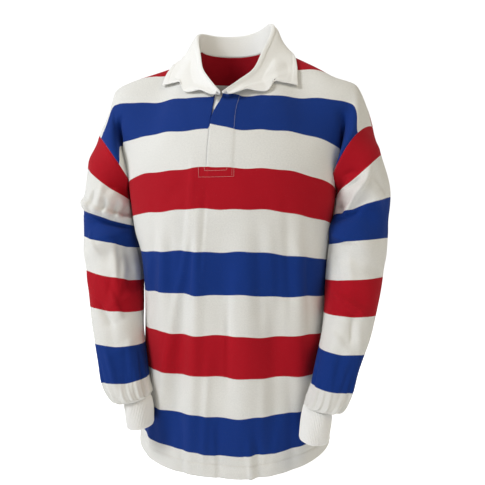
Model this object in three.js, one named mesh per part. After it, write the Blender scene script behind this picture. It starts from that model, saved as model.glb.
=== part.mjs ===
// A long-sleeved hooped rugby shirt, filled out as on a wearer and hollow: front, back, two sleeves, two
// cuffs, a turned-down collar and the strip under the neck opening. Millimetres, +Z up, the front faces -Y,
// and +X is the wearer's left. The origin is the middle of the neck opening, a little under the shoulder
// seams' neck ends.
import * as THREE from 'three';

// Driving dimensions
const CLOTH = 2; // wall of the body and sleeves
const COLLAR_CLOTH = 2.4; // the collar is two plies of drill
const COLLAR_RISE = 0.8; // of the collar's foot over the neckline
const CUFF_CLOTH = 3; // folded cuff knit
const SEAM_GAP = 0.36; // between two pieces that are sewn together
const LAYER_GAP = 1; // between a strip and the panel that it lies under
const HEM_HOOP = 672; // the hoop scale runs down the cloth from the top edge of the first chest hoop
const UNDERARM_HOOP = 160;
const SHOULDER_SHARE = 0.76; // share of a half panel's columns inside the shoulder point
const NECK_SHARE = 0.36; // share of them inside the neck end of the shoulder seam
const CENTRE_TURN = -4.3; // degrees by which the centre lines stand off the wearer's middle
const SEAM_TURN = -10; // and the side seams at the waist
const ROUNDNESS = 2.2; // exponent of the torso's oval
const NECK = { front: { x: -9, y: -84, z: -100 }, back: { x: 4, y: 62, z: 26 } };
const SLIT = { column: 0.06, bottomHoop: 136, gap: 0.003, gape: 0.05, gapeHoop: 72, roomColumns: 4 };
const UNDERLAP = { right: 0.105, left: 0.03, bottomHoop: 146, top: 0.004 };

// How the cloth leaves the underarm level and arrives at the top edge. A pull is a share of the height
// climbed.
const DRAPE = {
  leavePull: 1.25,
  leaveStep: 20,
  neckPull: { front: 0.95, back: 0.8 },
  neckLean: 0.5,
  neckRise: 0.86,
  ridgePull: { neck: 0.55, shoulder: 1.1 },
  ridgeReach: { neck: 20, shoulder: 165 },
  ridgeColumns: [0.42, 0.74],
  neckColumn: 0.396,
  armholeColumn: 0.72,
};

// The torso's sections. mid, right and left are the heights of the section at the centre and at the two
// sides, and centre is the middle between the side seams.
const BODY = [
  { hoop: 160, mid: -257, right: -262, left: -266, width: 203, centre: -6, front: 121, back: 127 },
  { hoop: 210, mid: -308, right: -313, left: -322, width: 196, centre: -6, front: 119, back: 124 },
  { hoop: 245, mid: -344, right: -347, left: -356, width: 191, centre: -5, front: 117, back: 121 },
  { hoop: 280, mid: -381, right: -382, left: -391, width: 183, centre: -2, front: 115, back: 118 },
  { hoop: 350, mid: -456, right: -454, left: -464, width: 177, centre: 0, front: 113, back: 115 },
  { hoop: 420, mid: -526, right: -524, left: -531, width: 176, centre: 0, front: 114, back: 116 },
  { hoop: 490, mid: -596, right: -595, left: -600, width: 178, centre: 0, front: 117, back: 120 },
  { hoop: 560, mid: -662, right: -654, left: -650, width: 180, centre: 0, front: 122, back: 124 },
  { hoop: 630, mid: -724, right: -708, left: -704, width: 182, centre: 0, front: 127, back: 127 },
  { hoop: 672, mid: -760, right: -740, left: -735, width: 184, centre: 0, front: 130, back: 129 },
];

// The line over each shoulder, from the neck end of the seam to the top of the armhole.
const SHOULDER = {
  right: [
    { share: 0.36, x: 68, y: 4, z: 17 },
    { share: 0.48, x: 114, y: 5, z: -9 },
    { share: 0.58, x: 156, y: 6, z: -24 },
    { share: 0.68, x: 200, y: 7, z: -38 },
    { share: 0.76, x: 236, y: 8, z: -53 },
    { share: 0.81, x: 247, y: 9, z: -71 },
    { share: 0.9, x: 263, y: 9, z: -105 },
    { share: 1, x: 284, y: 8, z: -144 },
  ],
  left: [
    { share: 0.36, x: 68, y: 4, z: 22 },
    { share: 0.48, x: 114, y: 5, z: -2 },
    { share: 0.59, x: 156, y: 5, z: -26 },
    { share: 0.69, x: 193, y: 6, z: -49 },
    { share: 0.78, x: 231, y: 7, z: -63 },
    { share: 0.83, x: 244, y: 7, z: -77 },
    { share: 0.91, x: 259, y: 7, z: -110 },
    { share: 1, x: 268, y: 6, z: -143 },
  ],
};
// How the armhole seam leaves the underarm and arrives at the shoulder point: inward, out of the panel, and
// down.
const ARMHOLE = {
  front: { leave: { inward: 100, out: 150, drop: 10 }, arrive: { inward: 170, out: 440, drop: 70 } },
  back: { leave: { inward: 50, out: 260, drop: 16 }, arrive: { inward: 50, out: 300, drop: 16 } },
};

// Each sleeve's sections, from below the armhole seam to the gathers. A section is an oval of half sizes
// width and depth round a centre, and tilt lifts its outer side.
const SLEEVE_START = { hoop: 0, width: 72, depth: 76, tilt: 50 }; // the oval at the armhole
const SLEEVE_END = 550; // hoop of the gathers
const SLEEVE = {
  right: [
    { hoop: 60, x: -247, y: 2, z: -240, width: 61, depth: 69, tilt: 40 },
    { hoop: 130, x: -252, y: 0, z: -307, width: 56, depth: 64, tilt: 20 },
    { hoop: 190, x: -250, y: -6, z: -346, width: 54, depth: 60, tilt: 14 },
    { hoop: 250, x: -240, y: -16, z: -399, width: 58, depth: 57, tilt: 12 },
    { hoop: 320, x: -228, y: -34, z: -464, width: 53, depth: 53, tilt: 9 },
    { hoop: 390, x: -212, y: -56, z: -523, width: 45, depth: 48, tilt: 3 },
    { hoop: 450, x: -195, y: -78, z: -576, width: 42, depth: 44, tilt: 0 },
    { hoop: 505, x: -179, y: -98, z: -619, width: 38, depth: 41, tilt: -6 },
    { hoop: 535, x: -168, y: -106, z: -636, width: 33, depth: 36, tilt: -12 },
    { hoop: 550, x: -158, y: -109, z: -640, width: 24, depth: 26, tilt: -16 },
  ],
  left: [
    { hoop: 60, x: 236, y: 0, z: -233, width: 58, depth: 68, tilt: 45 },
    { hoop: 130, x: 242, y: -4, z: -289, width: 57, depth: 64, tilt: 20 },
    { hoop: 190, x: 233, y: -10, z: -343, width: 57, depth: 60, tilt: 8 },
    { hoop: 250, x: 228, y: -20, z: -402, width: 55, depth: 58, tilt: 5 },
    { hoop: 320, x: 221, y: -38, z: -465, width: 49, depth: 54, tilt: 1 },
    { hoop: 390, x: 207, y: -62, z: -525, width: 41, depth: 49, tilt: -3 },
    { hoop: 450, x: 190, y: -86, z: -574, width: 36, depth: 44, tilt: -4 },
    { hoop: 505, x: 177, y: -104, z: -617, width: 34, depth: 40, tilt: -7 },
    { hoop: 535, x: 169, y: -112, z: -634, width: 32, depth: 35, tilt: -11 },
    { hoop: 550, x: 157, y: -116, z: -638, width: 24, depth: 26, tilt: -13 },
  ],
};
const CUFF_SWELL = 1.2; // of the knit halfway down
// The cuffs' lower ends. drop is the gap under the end of the sleeve's cloth.
const CUFF = {
  right: { x: -149, y: -114, z: -684, width: 22.5, depth: 25, tilt: -9, drop: 0.6 },
  left: { x: 149, y: -123, z: -688, width: 23.5, depth: 25.5, tilt: -5, drop: 1.15 },
};

// The collar's sections. seam runs from 0 at its right front end, over 1 at the centre back, to 2 at its left
// front end. roll is the fold line. The free edge lies at a place across and a row of the front or back.
const EDGE_LIFT = 5; // of the free edge over the panel
const COLLAR = [
  { seam: 0, rollX: -15, rollY: -99, rollZ: -98, face: 'front', across: -0.484, row: 1.6 },
  { seam: 0.14, rollX: -32, rollY: -87, rollZ: -76, face: 'front', across: -0.492, row: 1.68 },
  { seam: 0.28, rollX: -52, rollY: -66, rollZ: -44, face: 'front', across: -0.494, row: 1.78 },
  { seam: 0.42, rollX: -62, rollY: -42, rollZ: -8, face: 'front', across: -0.486, row: 1.88 },
  { seam: 0.56, rollX: -73, rollY: -10, rollZ: 36, face: 'front', across: -0.47, row: 1.97 },
  { seam: 0.7, rollX: -72, rollY: 22, rollZ: 62, face: 'back', across: -0.43, row: 1.9 },
  { seam: 0.84, rollX: -42, rollY: 54, rollZ: 70, face: 'back', across: -0.24, row: 1.83 },
  { seam: 1, rollX: 4, rollY: 66, rollZ: 73, face: 'back', across: 0, row: 1.85 },
  { seam: 1.16, rollX: 44, rollY: 54, rollZ: 76, face: 'back', across: 0.24, row: 1.83 },
  { seam: 1.3, rollX: 70, rollY: 22, rollZ: 74, face: 'back', across: 0.43, row: 1.9 },
  { seam: 1.44, rollX: 76, rollY: -10, rollZ: 44, face: 'front', across: 0.47, row: 1.95 },
  { seam: 1.58, rollX: 62, rollY: -44, rollZ: -8, face: 'front', across: 0.484, row: 1.82 },
  { seam: 1.72, rollX: 48, rollY: -66, rollZ: -48, face: 'front', across: 0.482, row: 1.7 },
  { seam: 1.86, rollX: 22, rollY: -86, rollZ: -76, face: 'front', across: 0.472, row: 1.6 },
  { seam: 2, rollX: -3, rollY: -99, rollZ: -98, face: 'front', across: 0.464, row: 1.52 },
];
const COLLAR_START = { right: 0.018, left: 0.002 }; // where its front ends stand on the neckline
const ROLL_RADIUS = 5;
const NECK_FRONT_SHARE = 0.6; // share of a side's neckline that is on the front
// The wave of the collar's front edge, from the foot of the neck opening out to the leaf's corner.
const LEAF_WAVE = [
  { along: 0, drop: 0, lift: 0 },
  { along: 0.1, drop: -3, lift: 2 },
  { along: 0.19, drop: -6, lift: 3 },
  { along: 0.36, drop: -11, lift: 1 },
  { along: 0.54, drop: -1, lift: 4 },
  { along: 0.63, drop: 0, lift: 4 },
  { along: 0.7, drop: -14, lift: 0 },
  { along: 0.82, drop: -9, lift: 0 },
  { along: 1, drop: 0, lift: 0 },
];
const WAVE_SEAMS = 0.2; // the wave fades out over this much of the seam
// How the fall leaves the roll and arrives at the free edge, in shares of its length.
const FALL = { leaveDown: 0.35, leaveOut: 0.5, arriveAlong: 0.9, arriveOut: 0.2 };

// Folds in the cloth. Each runs between two places and is a soft ridge, or a trough where rise is below 0.
// On the body across is the distance from the centre line, towards the wearer's left, and down is the hoop
// scale.
const BODY_FOLDS = [
  { face: 'front', across: -38, down: 170, toAcross: -52, toDown: 660, width: 13, rise: 7 },
  { face: 'front', across: -66, down: 230, toAcross: -84, toDown: 640, width: 15, rise: -7 },
  { face: 'front', across: -100, down: 240, toAcross: -112, toDown: 600, width: 16, rise: 5 },
  { face: 'front', across: 4, down: 240, toAcross: 6, toDown: 600, width: 20, rise: -4 },
  { face: 'front', across: 46, down: 230, toAcross: 40, toDown: 720, width: 24, rise: 5 },
  { face: 'front', across: 92, down: 260, toAcross: 96, toDown: 640, width: 18, rise: -5 },
  { face: 'front', across: 132, down: 230, toAcross: 138, toDown: 560, width: 16, rise: 5 },
  { face: 'back', across: -92, down: 180, toAcross: -104, toDown: 700, width: 22, rise: -7 },
  { face: 'back', across: -44, down: 220, toAcross: -40, toDown: 700, width: 20, rise: 6 },
  { face: 'back', across: 30, down: 190, toAcross: 22, toDown: 690, width: 22, rise: -6 },
  { face: 'back', across: 96, down: 200, toAcross: 110, toDown: 700, width: 22, rise: 7 },
];
const BODY_FADE = { column: 0.93, row: 1.88 }; // where the folds start to fade towards the seams
// The crease between the chest or the shoulder blade and the arm sinks into the body, in shares of columns
// and rows.
const ARM_CREASES = [
  { face: 'front', column: 1.02, row: 1.35, toColumn: 0.75, toRow: 1.38, width: 0.05, depth: 22 },
  { face: 'front', column: 0.84, row: 1.34, toColumn: 0.73, toRow: 1.5, width: 0.035, depth: 8 },
  { face: 'back', column: 1, row: 1.3, toColumn: 0.74, toRow: 1.4, width: 0.06, depth: 16 },
];
const CREASE_FADE = 0.95; // the column where it starts to fade towards the armhole
// On a sleeve turn is the angle from its front, towards the outer side, and down is the hoop scale.
const SLEEVE_FOLDS = [
  { turn: -60, down: 60, toTurn: 50, toDown: 150, width: 19, rise: 7 },
  { turn: -55, down: 108, toTurn: 40, toDown: 196, width: 17, rise: -7 },
  { turn: -75, down: 160, toTurn: 30, toDown: 236, width: 18, rise: 7 },
  { turn: -60, down: 216, toTurn: 60, toDown: 282, width: 18, rise: -5 },
  { turn: 130, down: 60, toTurn: 205, toDown: 190, width: 21, rise: -6 },
  { turn: 150, down: 170, toTurn: 215, toDown: 290, width: 21, rise: 5 },
  { turn: 10, down: 300, toTurn: -14, toDown: 520, width: 16, rise: -5 },
  { turn: 60, down: 340, toTurn: 44, toDown: 530, width: 16, rise: 5 },
  { turn: 178, down: 330, toTurn: 170, toDown: 520, width: 18, rise: -5 },
];
const SLEEVE_FADE = { from: 8, full: 46, leave: 500, end: 540 }; // where the folds start and end
const GATHERS = { count: 12, rise: 2.6, from: 470, peak: 530 }; // pleats round the sleeve above its cuff

// Mesh steps. The neck columns lie between the centre line and the neck end of the shoulder seam.
const STEPS = {
  neckColumns: 5,
  outerColumns: 8,
  lowerRows: 13,
  upperRows: 11,
  underlapColumns: 6,
  underlapRows: 10,
  cuffRows: 3,
  standRows: 3,
  rollRows: 3,
  fallRows: 9,
};
const SLEEVE_RINGS = [
  0, 14, 30, 46, 62, 78, 95, 112, 130, 148, 166, 184, 203, 223, 245, 270,
  298, 328, 360, 394, 428, 460, 486, 507, 524, 538, 550,
];

const COTTON = {
  blue: new THREE.MeshStandardMaterial({ color: 0x1b3f94, roughness: 0.9, metalness: 0 }),
  red: new THREE.MeshStandardMaterial({ color: 0xb3121f, roughness: 0.9, metalness: 0 }),
  white: new THREE.MeshStandardMaterial({ color: 0xe8e6df, roughness: 0.85, metalness: 0 }),
};

const radians = THREE.MathUtils.degToRad;
const mix = THREE.MathUtils.lerp;
const smooth = THREE.MathUtils.smoothstep;
const clamp = THREE.MathUtils.clamp;

function hermite(start, leave, end, arrive, t) {
  const t2 = t * t;
  const t3 = t2 * t;
  const places = start * (2 * t3 - 3 * t2 + 1) + end * (3 * t2 - 2 * t3);
  return places + leave * (t3 - 2 * t2 + t) + arrive * (t3 - t2);
}

function hermitePoint(start, leave, end, arrive, t) {
  return new THREE.Vector3(
    hermite(start.x, leave.x, end.x, arrive.x, t),
    hermite(start.y, leave.y, end.y, arrive.y, t),
    hermite(start.z, leave.z, end.z, arrive.z, t),
  );
}

// A smooth line through two columns of a table, read at any place between its ends.
function lineThrough(rows, from, to) {
  const slope = rows.map((row, i) => {
    const a = rows[Math.max(i - 1, 0)];
    const b = rows[Math.min(i + 1, rows.length - 1)];
    return (b[to] - a[to]) / (b[from] - a[from]);
  });
  return (place) => {
    let i = 0;
    while (i < rows.length - 2 && place > rows[i + 1][from]) i += 1;
    const span = rows[i + 1][from] - rows[i][from];
    const t = clamp((place - rows[i][from]) / span, 0, 1);
    return hermite(rows[i][to], slope[i] * span, rows[i + 1][to], slope[i + 1] * span, t);
  };
}

function linesThrough(rows, from, names) {
  return Object.fromEntries(names.map((name) => [name, lineThrough(rows, from, name)]));
}

const body = linesThrough(BODY, 'hoop', ['mid', 'right', 'left', 'width', 'centre', 'front', 'back']);
const shoulder = {
  right: linesThrough(SHOULDER.right, 'share', ['x', 'y', 'z']),
  left: linesThrough(SHOULDER.left, 'share', ['x', 'y', 'z']),
};
const sideName = (side) => (side < 0 ? 'right' : 'left');

// How much a fold lifts the cloth at a place: a soft bump across its line that fades towards both ends.
function bump(across, down, fold) {
  const dx = fold.to[0] - fold.from[0];
  const dy = fold.to[1] - fold.from[1];
  const long = Math.hypot(dx, dy);
  const along = ((across - fold.from[0]) * dx + (down - fold.from[1]) * dy) / long;
  const off = ((across - fold.from[0]) * dy - (down - fold.from[1]) * dx) / long;
  const fade = long * 0.3;
  const ends = smooth(along, -fade * 0.4, fade) * (1 - smooth(along, long - fade, long + fade * 0.4));
  return fold.rise * Math.exp(-((off / fold.width) ** 2)) * ends;
}

// The height of the torso's section at an angle from the front, towards the wearer's left.
function torsoHeight(hoop, angle) {
  const across = Math.sin(angle);
  if (across < 0) return mix(body.mid(hoop), body.right(hoop), across ** 4);
  return mix(body.mid(hoop), body.left(hoop), across ** 2);
}

// The torso's section at one place on the hoop scale. column runs from a centre line, 0, to the side seam, 1.
function torsoPoint(side, face, column, hoop) {
  const seamTurn = SEAM_TURN * smooth(hoop, UNDERARM_HOOP, 330);
  const quarter = side * 90 * column;
  const turn = CENTRE_TURN * (1 - column) + seamTurn * column;
  const angle = radians((face === 'front' ? quarter : 180 - quarter) + turn);
  const across = Math.sin(angle);
  const ahead = Math.cos(angle);
  const reach = (Math.abs(across) ** ROUNDNESS + Math.abs(ahead) ** ROUNDNESS) ** (-1 / ROUNDNESS);
  const depth = ahead > 0 ? body.front(hoop) : body.back(hoop);
  return new THREE.Vector3(
    body.centre(hoop) * across ** 2 + body.width(hoop) * reach * across,
    -depth * reach * ahead,
    torsoHeight(hoop, angle),
  );
}

// The top edge of a half panel: the neckline, the shoulder seam, and the line down to the top of the armhole.
function topPoint(side, face, column) {
  const line = shoulder[sideName(side)];
  const share = Math.max(column, NECK_SHARE);
  const seam = new THREE.Vector3(side * line.x(share), line.y(share), line.z(share));
  if (column >= NECK_SHARE) return seam;
  const turn = (column / NECK_SHARE) * (Math.PI / 2);
  const centre = NECK[face];
  return new THREE.Vector3(
    centre.x * Math.cos(turn) + seam.x * Math.sin(turn),
    mix(seam.y, centre.y, Math.cos(turn)),
    mix(seam.z, centre.z, Math.cos(turn)),
  );
}

// The upper half panel, from the underarm level, rise 0, to its top edge, rise 1.
function upperPoint(side, face, column, rise) {
  const start = torsoPoint(side, face, column, UNDERARM_HOOP);
  const end = topPoint(side, face, column);
  const out = face === 'front' ? -1 : 1;
  const high = end.z - start.z;
  const below = torsoPoint(side, face, column, UNDERARM_HOOP + DRAPE.leaveStep);
  const leave = start.clone().sub(below).setLength(high * DRAPE.leavePull);
  const arrive = new THREE.Vector3(0, -out * DRAPE.neckLean, DRAPE.neckRise);
  arrive.multiplyScalar(high * DRAPE.neckPull[face]);
  const broad = smooth(column, ...DRAPE.ridgeColumns);
  const pull = mix(DRAPE.ridgePull.neck, DRAPE.ridgePull.shoulder, broad);
  const reach = mix(DRAPE.ridgeReach.neck, DRAPE.ridgeReach.shoulder, broad);
  const overRidge = new THREE.Vector3(0, -out * (Math.abs(end.y - start.y) * pull + reach), 0);
  arrive.lerp(overRidge, smooth(column, 0, DRAPE.neckColumn));
  const low = ARMHOLE[face].leave;
  const top = ARMHOLE[face].arrive;
  const lowPull = new THREE.Vector3(-side * low.inward, out * low.out, -low.drop);
  const topPull = new THREE.Vector3(side * top.inward, -out * top.out, top.drop);
  leave.lerp(lowPull, smooth(column, DRAPE.armholeColumn, 1));
  arrive.lerp(topPull, smooth(column, SHOULDER_SHARE, 1));
  return hermitePoint(start, leave, end, arrive, rise);
}

// A place on a half panel before its folds: rows 0 to 1 run from the hem to the underarm, and 1 to 2 to the
// top.
function plainPoint(face, across, row) {
  const side = across < 0 ? -1 : 1;
  const column = Math.min(Math.abs(across), 1);
  if (row <= 1) return torsoPoint(side, face, column, mix(HEM_HOOP, UNDERARM_HOOP, row));
  return upperPoint(side, face, column, row - 1);
}

// Where a row stands on the hoop scale near the centre line, and back.
const rowHoop = (row) => (row <= 1 ? mix(HEM_HOOP, UNDERARM_HOOP, row) : UNDERARM_HOOP * (2 - row));
const BODY_SPAN = HEM_HOOP - UNDERARM_HOOP;
const hoopRow = (hoop) => (hoop >= UNDERARM_HOOP ? (HEM_HOOP - hoop) / BODY_SPAN : 2 - hoop / UNDERARM_HOOP);

// Folds fade out at the side seams and the top edge, so that the panels meet there.
function foldRise(face, across, row, x) {
  let rise = 0;
  for (const f of BODY_FOLDS) {
    if (f.face !== face) continue;
    const line = { ...f, from: [f.across, f.down], to: [f.toAcross, f.toDown] };
    rise += bump(x - NECK[face].x, rowHoop(row), line);
  }
  return rise * (1 - smooth(Math.abs(across), BODY_FADE.column, 1)) * (1 - smooth(row, BODY_FADE.row, 2));
}

// How far the crease beside the arm sinks into the body.
function creaseDepth(face, across, row) {
  const column = Math.abs(across);
  let depth = 0;
  for (const f of ARM_CREASES) {
    if (f.face !== face) continue;
    const line = { width: f.width, from: [f.column, f.row], to: [f.toColumn, f.toRow], rise: f.depth };
    depth += bump(column, row, line);
  }
  return depth * (1 - smooth(column, CREASE_FADE, 1));
}

// The direction that a surface faces at a place, from steps to both sides of it.
const SLOPE_STEP = 0.004;
function facing(surface, u, v, stepU, stepV) {
  const du = surface(u + stepU, v).sub(surface(u - stepU, v));
  const dv = surface(u, v + stepV).sub(surface(u, v - stepV));
  return du.cross(dv).normalize();
}

function panelNormal(face, across, row) {
  const edge = SLOPE_STEP * 1.01;
  const a = clamp(across, -1 + edge, 1 - edge);
  const r = clamp(row, edge, 2 - edge);
  const normal = facing((u, v) => plainPoint(face, u, v), a, r, SLOPE_STEP, SLOPE_STEP);
  return face === 'front' ? normal : normal.negate();
}

function panelPoint(face, across, row, lift = 0) {
  const plain = plainPoint(face, across, row);
  const rise = foldRise(face, across, row, plain.x);
  const depth = creaseDepth(face, across, row);
  plain.addScaledVector(panelNormal(face, across, row), rise + lift);
  return plain.setY(plain.y + (face === 'front' ? depth : -depth));
}

const INSIDE_STEP = 0.04; // from the neckline into the panel
// The way out of a panel across one of its edges: in the cloth, and square to the edge.
function wayOut(place, normal, along, inside) {
  const way = normal.clone().cross(along).normalize();
  return way.dot(place.clone().sub(inside)) < 0 ? way.negate() : way;
}

// A place on a panel's top edge or side seam, the direction that both joined pieces face, and the ways out.
function panelEdge(face, across, row) {
  const side = across < 0 ? -1 : 1;
  const column = Math.abs(across);
  const other = face === 'front' ? 'back' : 'front';
  const place = panelPoint(face, across, row);
  const normal = panelNormal(face, across, row);
  const joined = (column >= 1 && row <= 1) || (row >= 2 && column > NECK_SHARE - SLOPE_STEP);
  if (joined) normal.add(panelNormal(other, across, row)).normalize();
  const ways = {};
  const below = plainPoint(face, across, Math.max(row - SLOPE_STEP, 0));
  if (row >= 2 && column < NECK_SHARE + SLOPE_STEP) {
    const along = place.clone().sub(plainPoint(face, side * Math.abs(column - SLOPE_STEP), 2));
    const inside = plainPoint(face, side * (column + INSIDE_STEP), 2 - INSIDE_STEP);
    ways.neck = wayOut(place, normal, along, inside);
  }
  if (row >= 2 && column > NECK_SHARE - SLOPE_STEP) {
    const outer = Math.min(column + SLOPE_STEP, 1);
    const along = plainPoint(face, side * outer, 2).sub(plainPoint(face, side * (outer - SLOPE_STEP), 2));
    ways.shoulder = wayOut(place, normal, along, below);
  }
  if (column >= 1 && row <= 1) {
    const along = plainPoint(face, across, row + SLOPE_STEP).sub(plainPoint(face, across, row));
    if (row >= 1) along.copy(plainPoint(face, across, 1)).sub(plainPoint(face, across, 1 - SLOPE_STEP));
    ways.side = wayOut(place, normal, along, plainPoint(face, side * (1 - SLOPE_STEP), Math.min(row, 1)));
  }
  return { place, normal, ways };
}

// The armhole seam as a closed ring. turn is -90 under the arm, 0 at its front, 90 on top and 180 at the
// back.
function armholePlace(turn) {
  const angle = THREE.MathUtils.euclideanModulo(turn + 90, 360);
  return { face: angle <= 180 ? 'front' : 'back', row: 1 + Math.min(angle, 360 - angle) / 180 };
}

function armholePoint(side, turn) {
  const { face, row } = armholePlace(turn);
  return panelPoint(face, side, row);
}

// At the armhole both pieces face the mean of their own directions, and way leads into the sleeve.
const SEAM_LOOK = 12; // how far down the sleeve its direction at the seam is read
function armholeEdge(side, turn) {
  const { face, row } = armholePlace(turn);
  const place = panelPoint(face, side, row);
  const normal = panelNormal(face, side, row);
  const other = face === 'front' ? 'back' : 'front';
  if (row <= 1 || row >= 2) normal.add(panelNormal(other, side, row)).normalize();
  normal.add(sleeveNormal(side, turn, SEAM_LOOK)).normalize();
  const along = armholePoint(side, turn + 2).sub(armholePoint(side, turn - 2)).normalize();
  const way = plainSleevePoint(side, turn, SEAM_LOOK).sub(place);
  normal.addScaledVector(along, -normal.dot(along)).normalize();
  way.addScaledVector(along, -way.dot(along));
  way.addScaledVector(normal, -way.dot(normal)).normalize();
  return { place, normal, way };
}

const sleeveLines = Object.fromEntries(
  [-1, 1].map((side) => {
    const top = topPoint(side, 'front', 1);
    const under = torsoPoint(side, 'front', 1, UNDERARM_HOOP);
    const middle = top.add(under).multiplyScalar(0.5);
    const start = { ...SLEEVE_START, x: middle.x, y: middle.y, z: middle.z };
    const rows = [start, ...SLEEVE[sideName(side)]];
    return [side, linesThrough(rows, 'hoop', ['x', 'y', 'z', 'width', 'depth', 'tilt'])];
  }),
);

function ovalPoint(side, row, turn) {
  const angle = radians(turn);
  const lean = radians(row.tilt);
  return new THREE.Vector3(
    row.x + side * row.width * Math.sin(angle) * Math.cos(lean),
    row.y - row.depth * Math.cos(angle),
    row.z + row.width * Math.sin(angle) * Math.sin(lean),
  );
}

function sleeveRow(side, hoop) {
  const lines = sleeveLines[side];
  return Object.fromEntries(Object.entries(lines).map(([name, line]) => [name, line(hoop)]));
}

// Cloth that would stand inside the torso is moved out to rest beside it.
const REST_GAP = 3;
const REST_FADE = 60; // above the underarm the rest fades out over this height
const REST_HOOP = 250; // the hoop whose middle the directions are read from
const REST_STEPS = 20; // halvings in the search for the section at a height
function besideTorso(place) {
  const angle = Math.atan2(place.x - body.centre(REST_HOOP), -place.y);
  let low = UNDERARM_HOOP;
  let high = HEM_HOOP;
  const over = smooth(place.z - torsoHeight(low, angle), 0, REST_FADE);
  if (over >= 1) return place;
  for (let k = 0; k < REST_STEPS; k += 1) {
    const middle = (low + high) / 2;
    if (torsoHeight(middle, angle) > place.z) low = middle;
    else high = middle;
  }
  const centre = body.centre(low);
  const across = Math.abs(place.x - centre) / (body.width(low) + REST_GAP);
  const ahead = Math.abs(place.y) / ((place.y < 0 ? body.front(low) : body.back(low)) + REST_GAP);
  const inside = (across ** ROUNDNESS + ahead ** ROUNDNESS) ** (1 / ROUNDNESS);
  if (inside >= 1) return place;
  const push = mix(1 / inside, 1, over);
  return new THREE.Vector3(centre + (place.x - centre) * push, place.y * push, place.z);
}

const SEAM_REACH = 62; // how far down the sleeve the shape of the armhole is felt
function plainSleevePoint(side, turn, hoop) {
  const oval = ovalPoint(side, sleeveRow(side, hoop), turn);
  const seam = smooth(hoop, 0, SEAM_REACH);
  if (seam >= 1) return besideTorso(oval);
  const moved = armholePoint(side, turn).sub(ovalPoint(side, sleeveRow(side, 0), turn));
  return besideTorso(oval.addScaledVector(moved, 1 - seam));
}

const SLEEVE_STEP = { turn: 1, hoop: 1.5 };
function sleeveNormal(side, turn, hoop) {
  const surface = (u, v) => plainSleevePoint(side, u, v);
  const place = clamp(hoop, SLEEVE_STEP.hoop, SLEEVE_END - SLEEVE_STEP.hoop);
  return facing(surface, turn, place, SLEEVE_STEP.turn, SLEEVE_STEP.hoop).multiplyScalar(-side);
}

function sleeveRise(side, turn, hoop) {
  const wrapped = THREE.MathUtils.euclideanModulo(turn + 90, 360) - 90;
  const scale = radians(1) * sleeveRow(side, hoop).depth;
  let rise = 0;
  for (const f of SLEEVE_FOLDS) {
    const line = { ...f, from: [f.turn * scale, f.down], to: [f.toTurn * scale, f.toDown] };
    rise += bump(wrapped * scale, hoop, line);
  }
  const { from, full, leave, end } = SLEEVE_FADE;
  const folds = rise * smooth(hoop, from, full) * (1 - smooth(hoop, leave, end));
  const pleats = smooth(hoop, GATHERS.from, GATHERS.peak) * (1 - smooth(hoop, GATHERS.peak, SLEEVE_END));
  return folds + GATHERS.rise * pleats * Math.cos(radians(turn * GATHERS.count));
}

function sleevePoint(side, turn, hoop, lift = 0) {
  const normal = sleeveNormal(side, turn, hoop);
  return plainSleevePoint(side, turn, hoop).addScaledVector(normal, sleeveRise(side, turn, hoop) + lift);
}

// A closed wall between the outer and inner points of its vertices, with a rim along every open edge.
function wall(name, material, vertices, faces) {
  const count = vertices.length;
  const index = [];
  const edges = new Map();
  for (const [a, b, c] of faces) {
    index.push(a, b, c, count + a, count + c, count + b);
    for (const [p, q] of [[a, b], [b, c], [c, a]]) {
      if (!edges.delete(`${q} ${p}`)) edges.set(`${p} ${q}`, [p, q]);
    }
  }
  for (const [p, q] of edges.values()) index.push(q, p, count + p, q, count + p, count + q);
  const geometry = new THREE.BufferGeometry();
  const places = [...vertices.map((v) => v.outer), ...vertices.map((v) => v.inner)];
  const points = places.flatMap((p) => [p.x, p.y, p.z]);
  geometry.setAttribute('position', new THREE.Float32BufferAttribute(points, 3));
  geometry.setIndex(index);
  geometry.computeVertexNormals();
  const mesh = new THREE.Mesh(geometry, material);
  mesh.name = name;
  return mesh;
}

// Two triangles for each cell of a grid whose corners are given by name, outward facing.
function gridFaces(columns, rows, corner, flip) {
  const faces = [];
  for (let i = 0; i < columns; i += 1) {
    for (let j = 0; j < rows; j += 1) {
      const quad = [corner(i, j, 0), corner(i + 1, j, -1), corner(i + 1, j + 1, -1), corner(i, j + 1, 0)];
      const [a, b, c, d] = flip ? quad.reverse() : quad;
      faces.push([a, b, c], [a, c, d]);
    }
  }
  return faces;
}

const columnPlaces = [];
for (let i = -STEPS.neckColumns - STEPS.outerColumns; i <= STEPS.neckColumns + STEPS.outerColumns; i += 1) {
  const past = Math.max(Math.abs(i) - STEPS.neckColumns, 0);
  const within = Math.min(Math.abs(i), STEPS.neckColumns);
  const column = (within / STEPS.neckColumns) * NECK_SHARE + (past / STEPS.outerColumns) * (1 - NECK_SHARE);
  columnPlaces.push(Math.sign(i) * column);
}
const rowPlaces = [];
for (let j = 0; j <= STEPS.lowerRows; j += 1) rowPlaces.push(j / STEPS.lowerRows);
for (let j = 1; j <= STEPS.upperRows; j += 1) rowPlaces.push(1 + j / STEPS.upperRows);

// The outer and inner points of a panel at one place, held back from its seams by half the gap.
function panelVertex(face, across, row) {
  const { place, normal, ways } = panelEdge(face, across, row);
  const held = Object.values(ways);
  if (Math.abs(across) >= 1 && row >= 1) {
    const turn = face === 'front' ? (row - 1) * 180 - 90 : 270 - (row - 1) * 180;
    const seam = armholeEdge(Math.sign(across), turn);
    normal.copy(seam.normal);
    held.push(seam.way);
  }
  const outer = place.clone();
  for (const way of held) outer.addScaledVector(way, -SEAM_GAP / 2);
  return { outer, inner: outer.clone().addScaledVector(normal, -CLOTH) };
}

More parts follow.
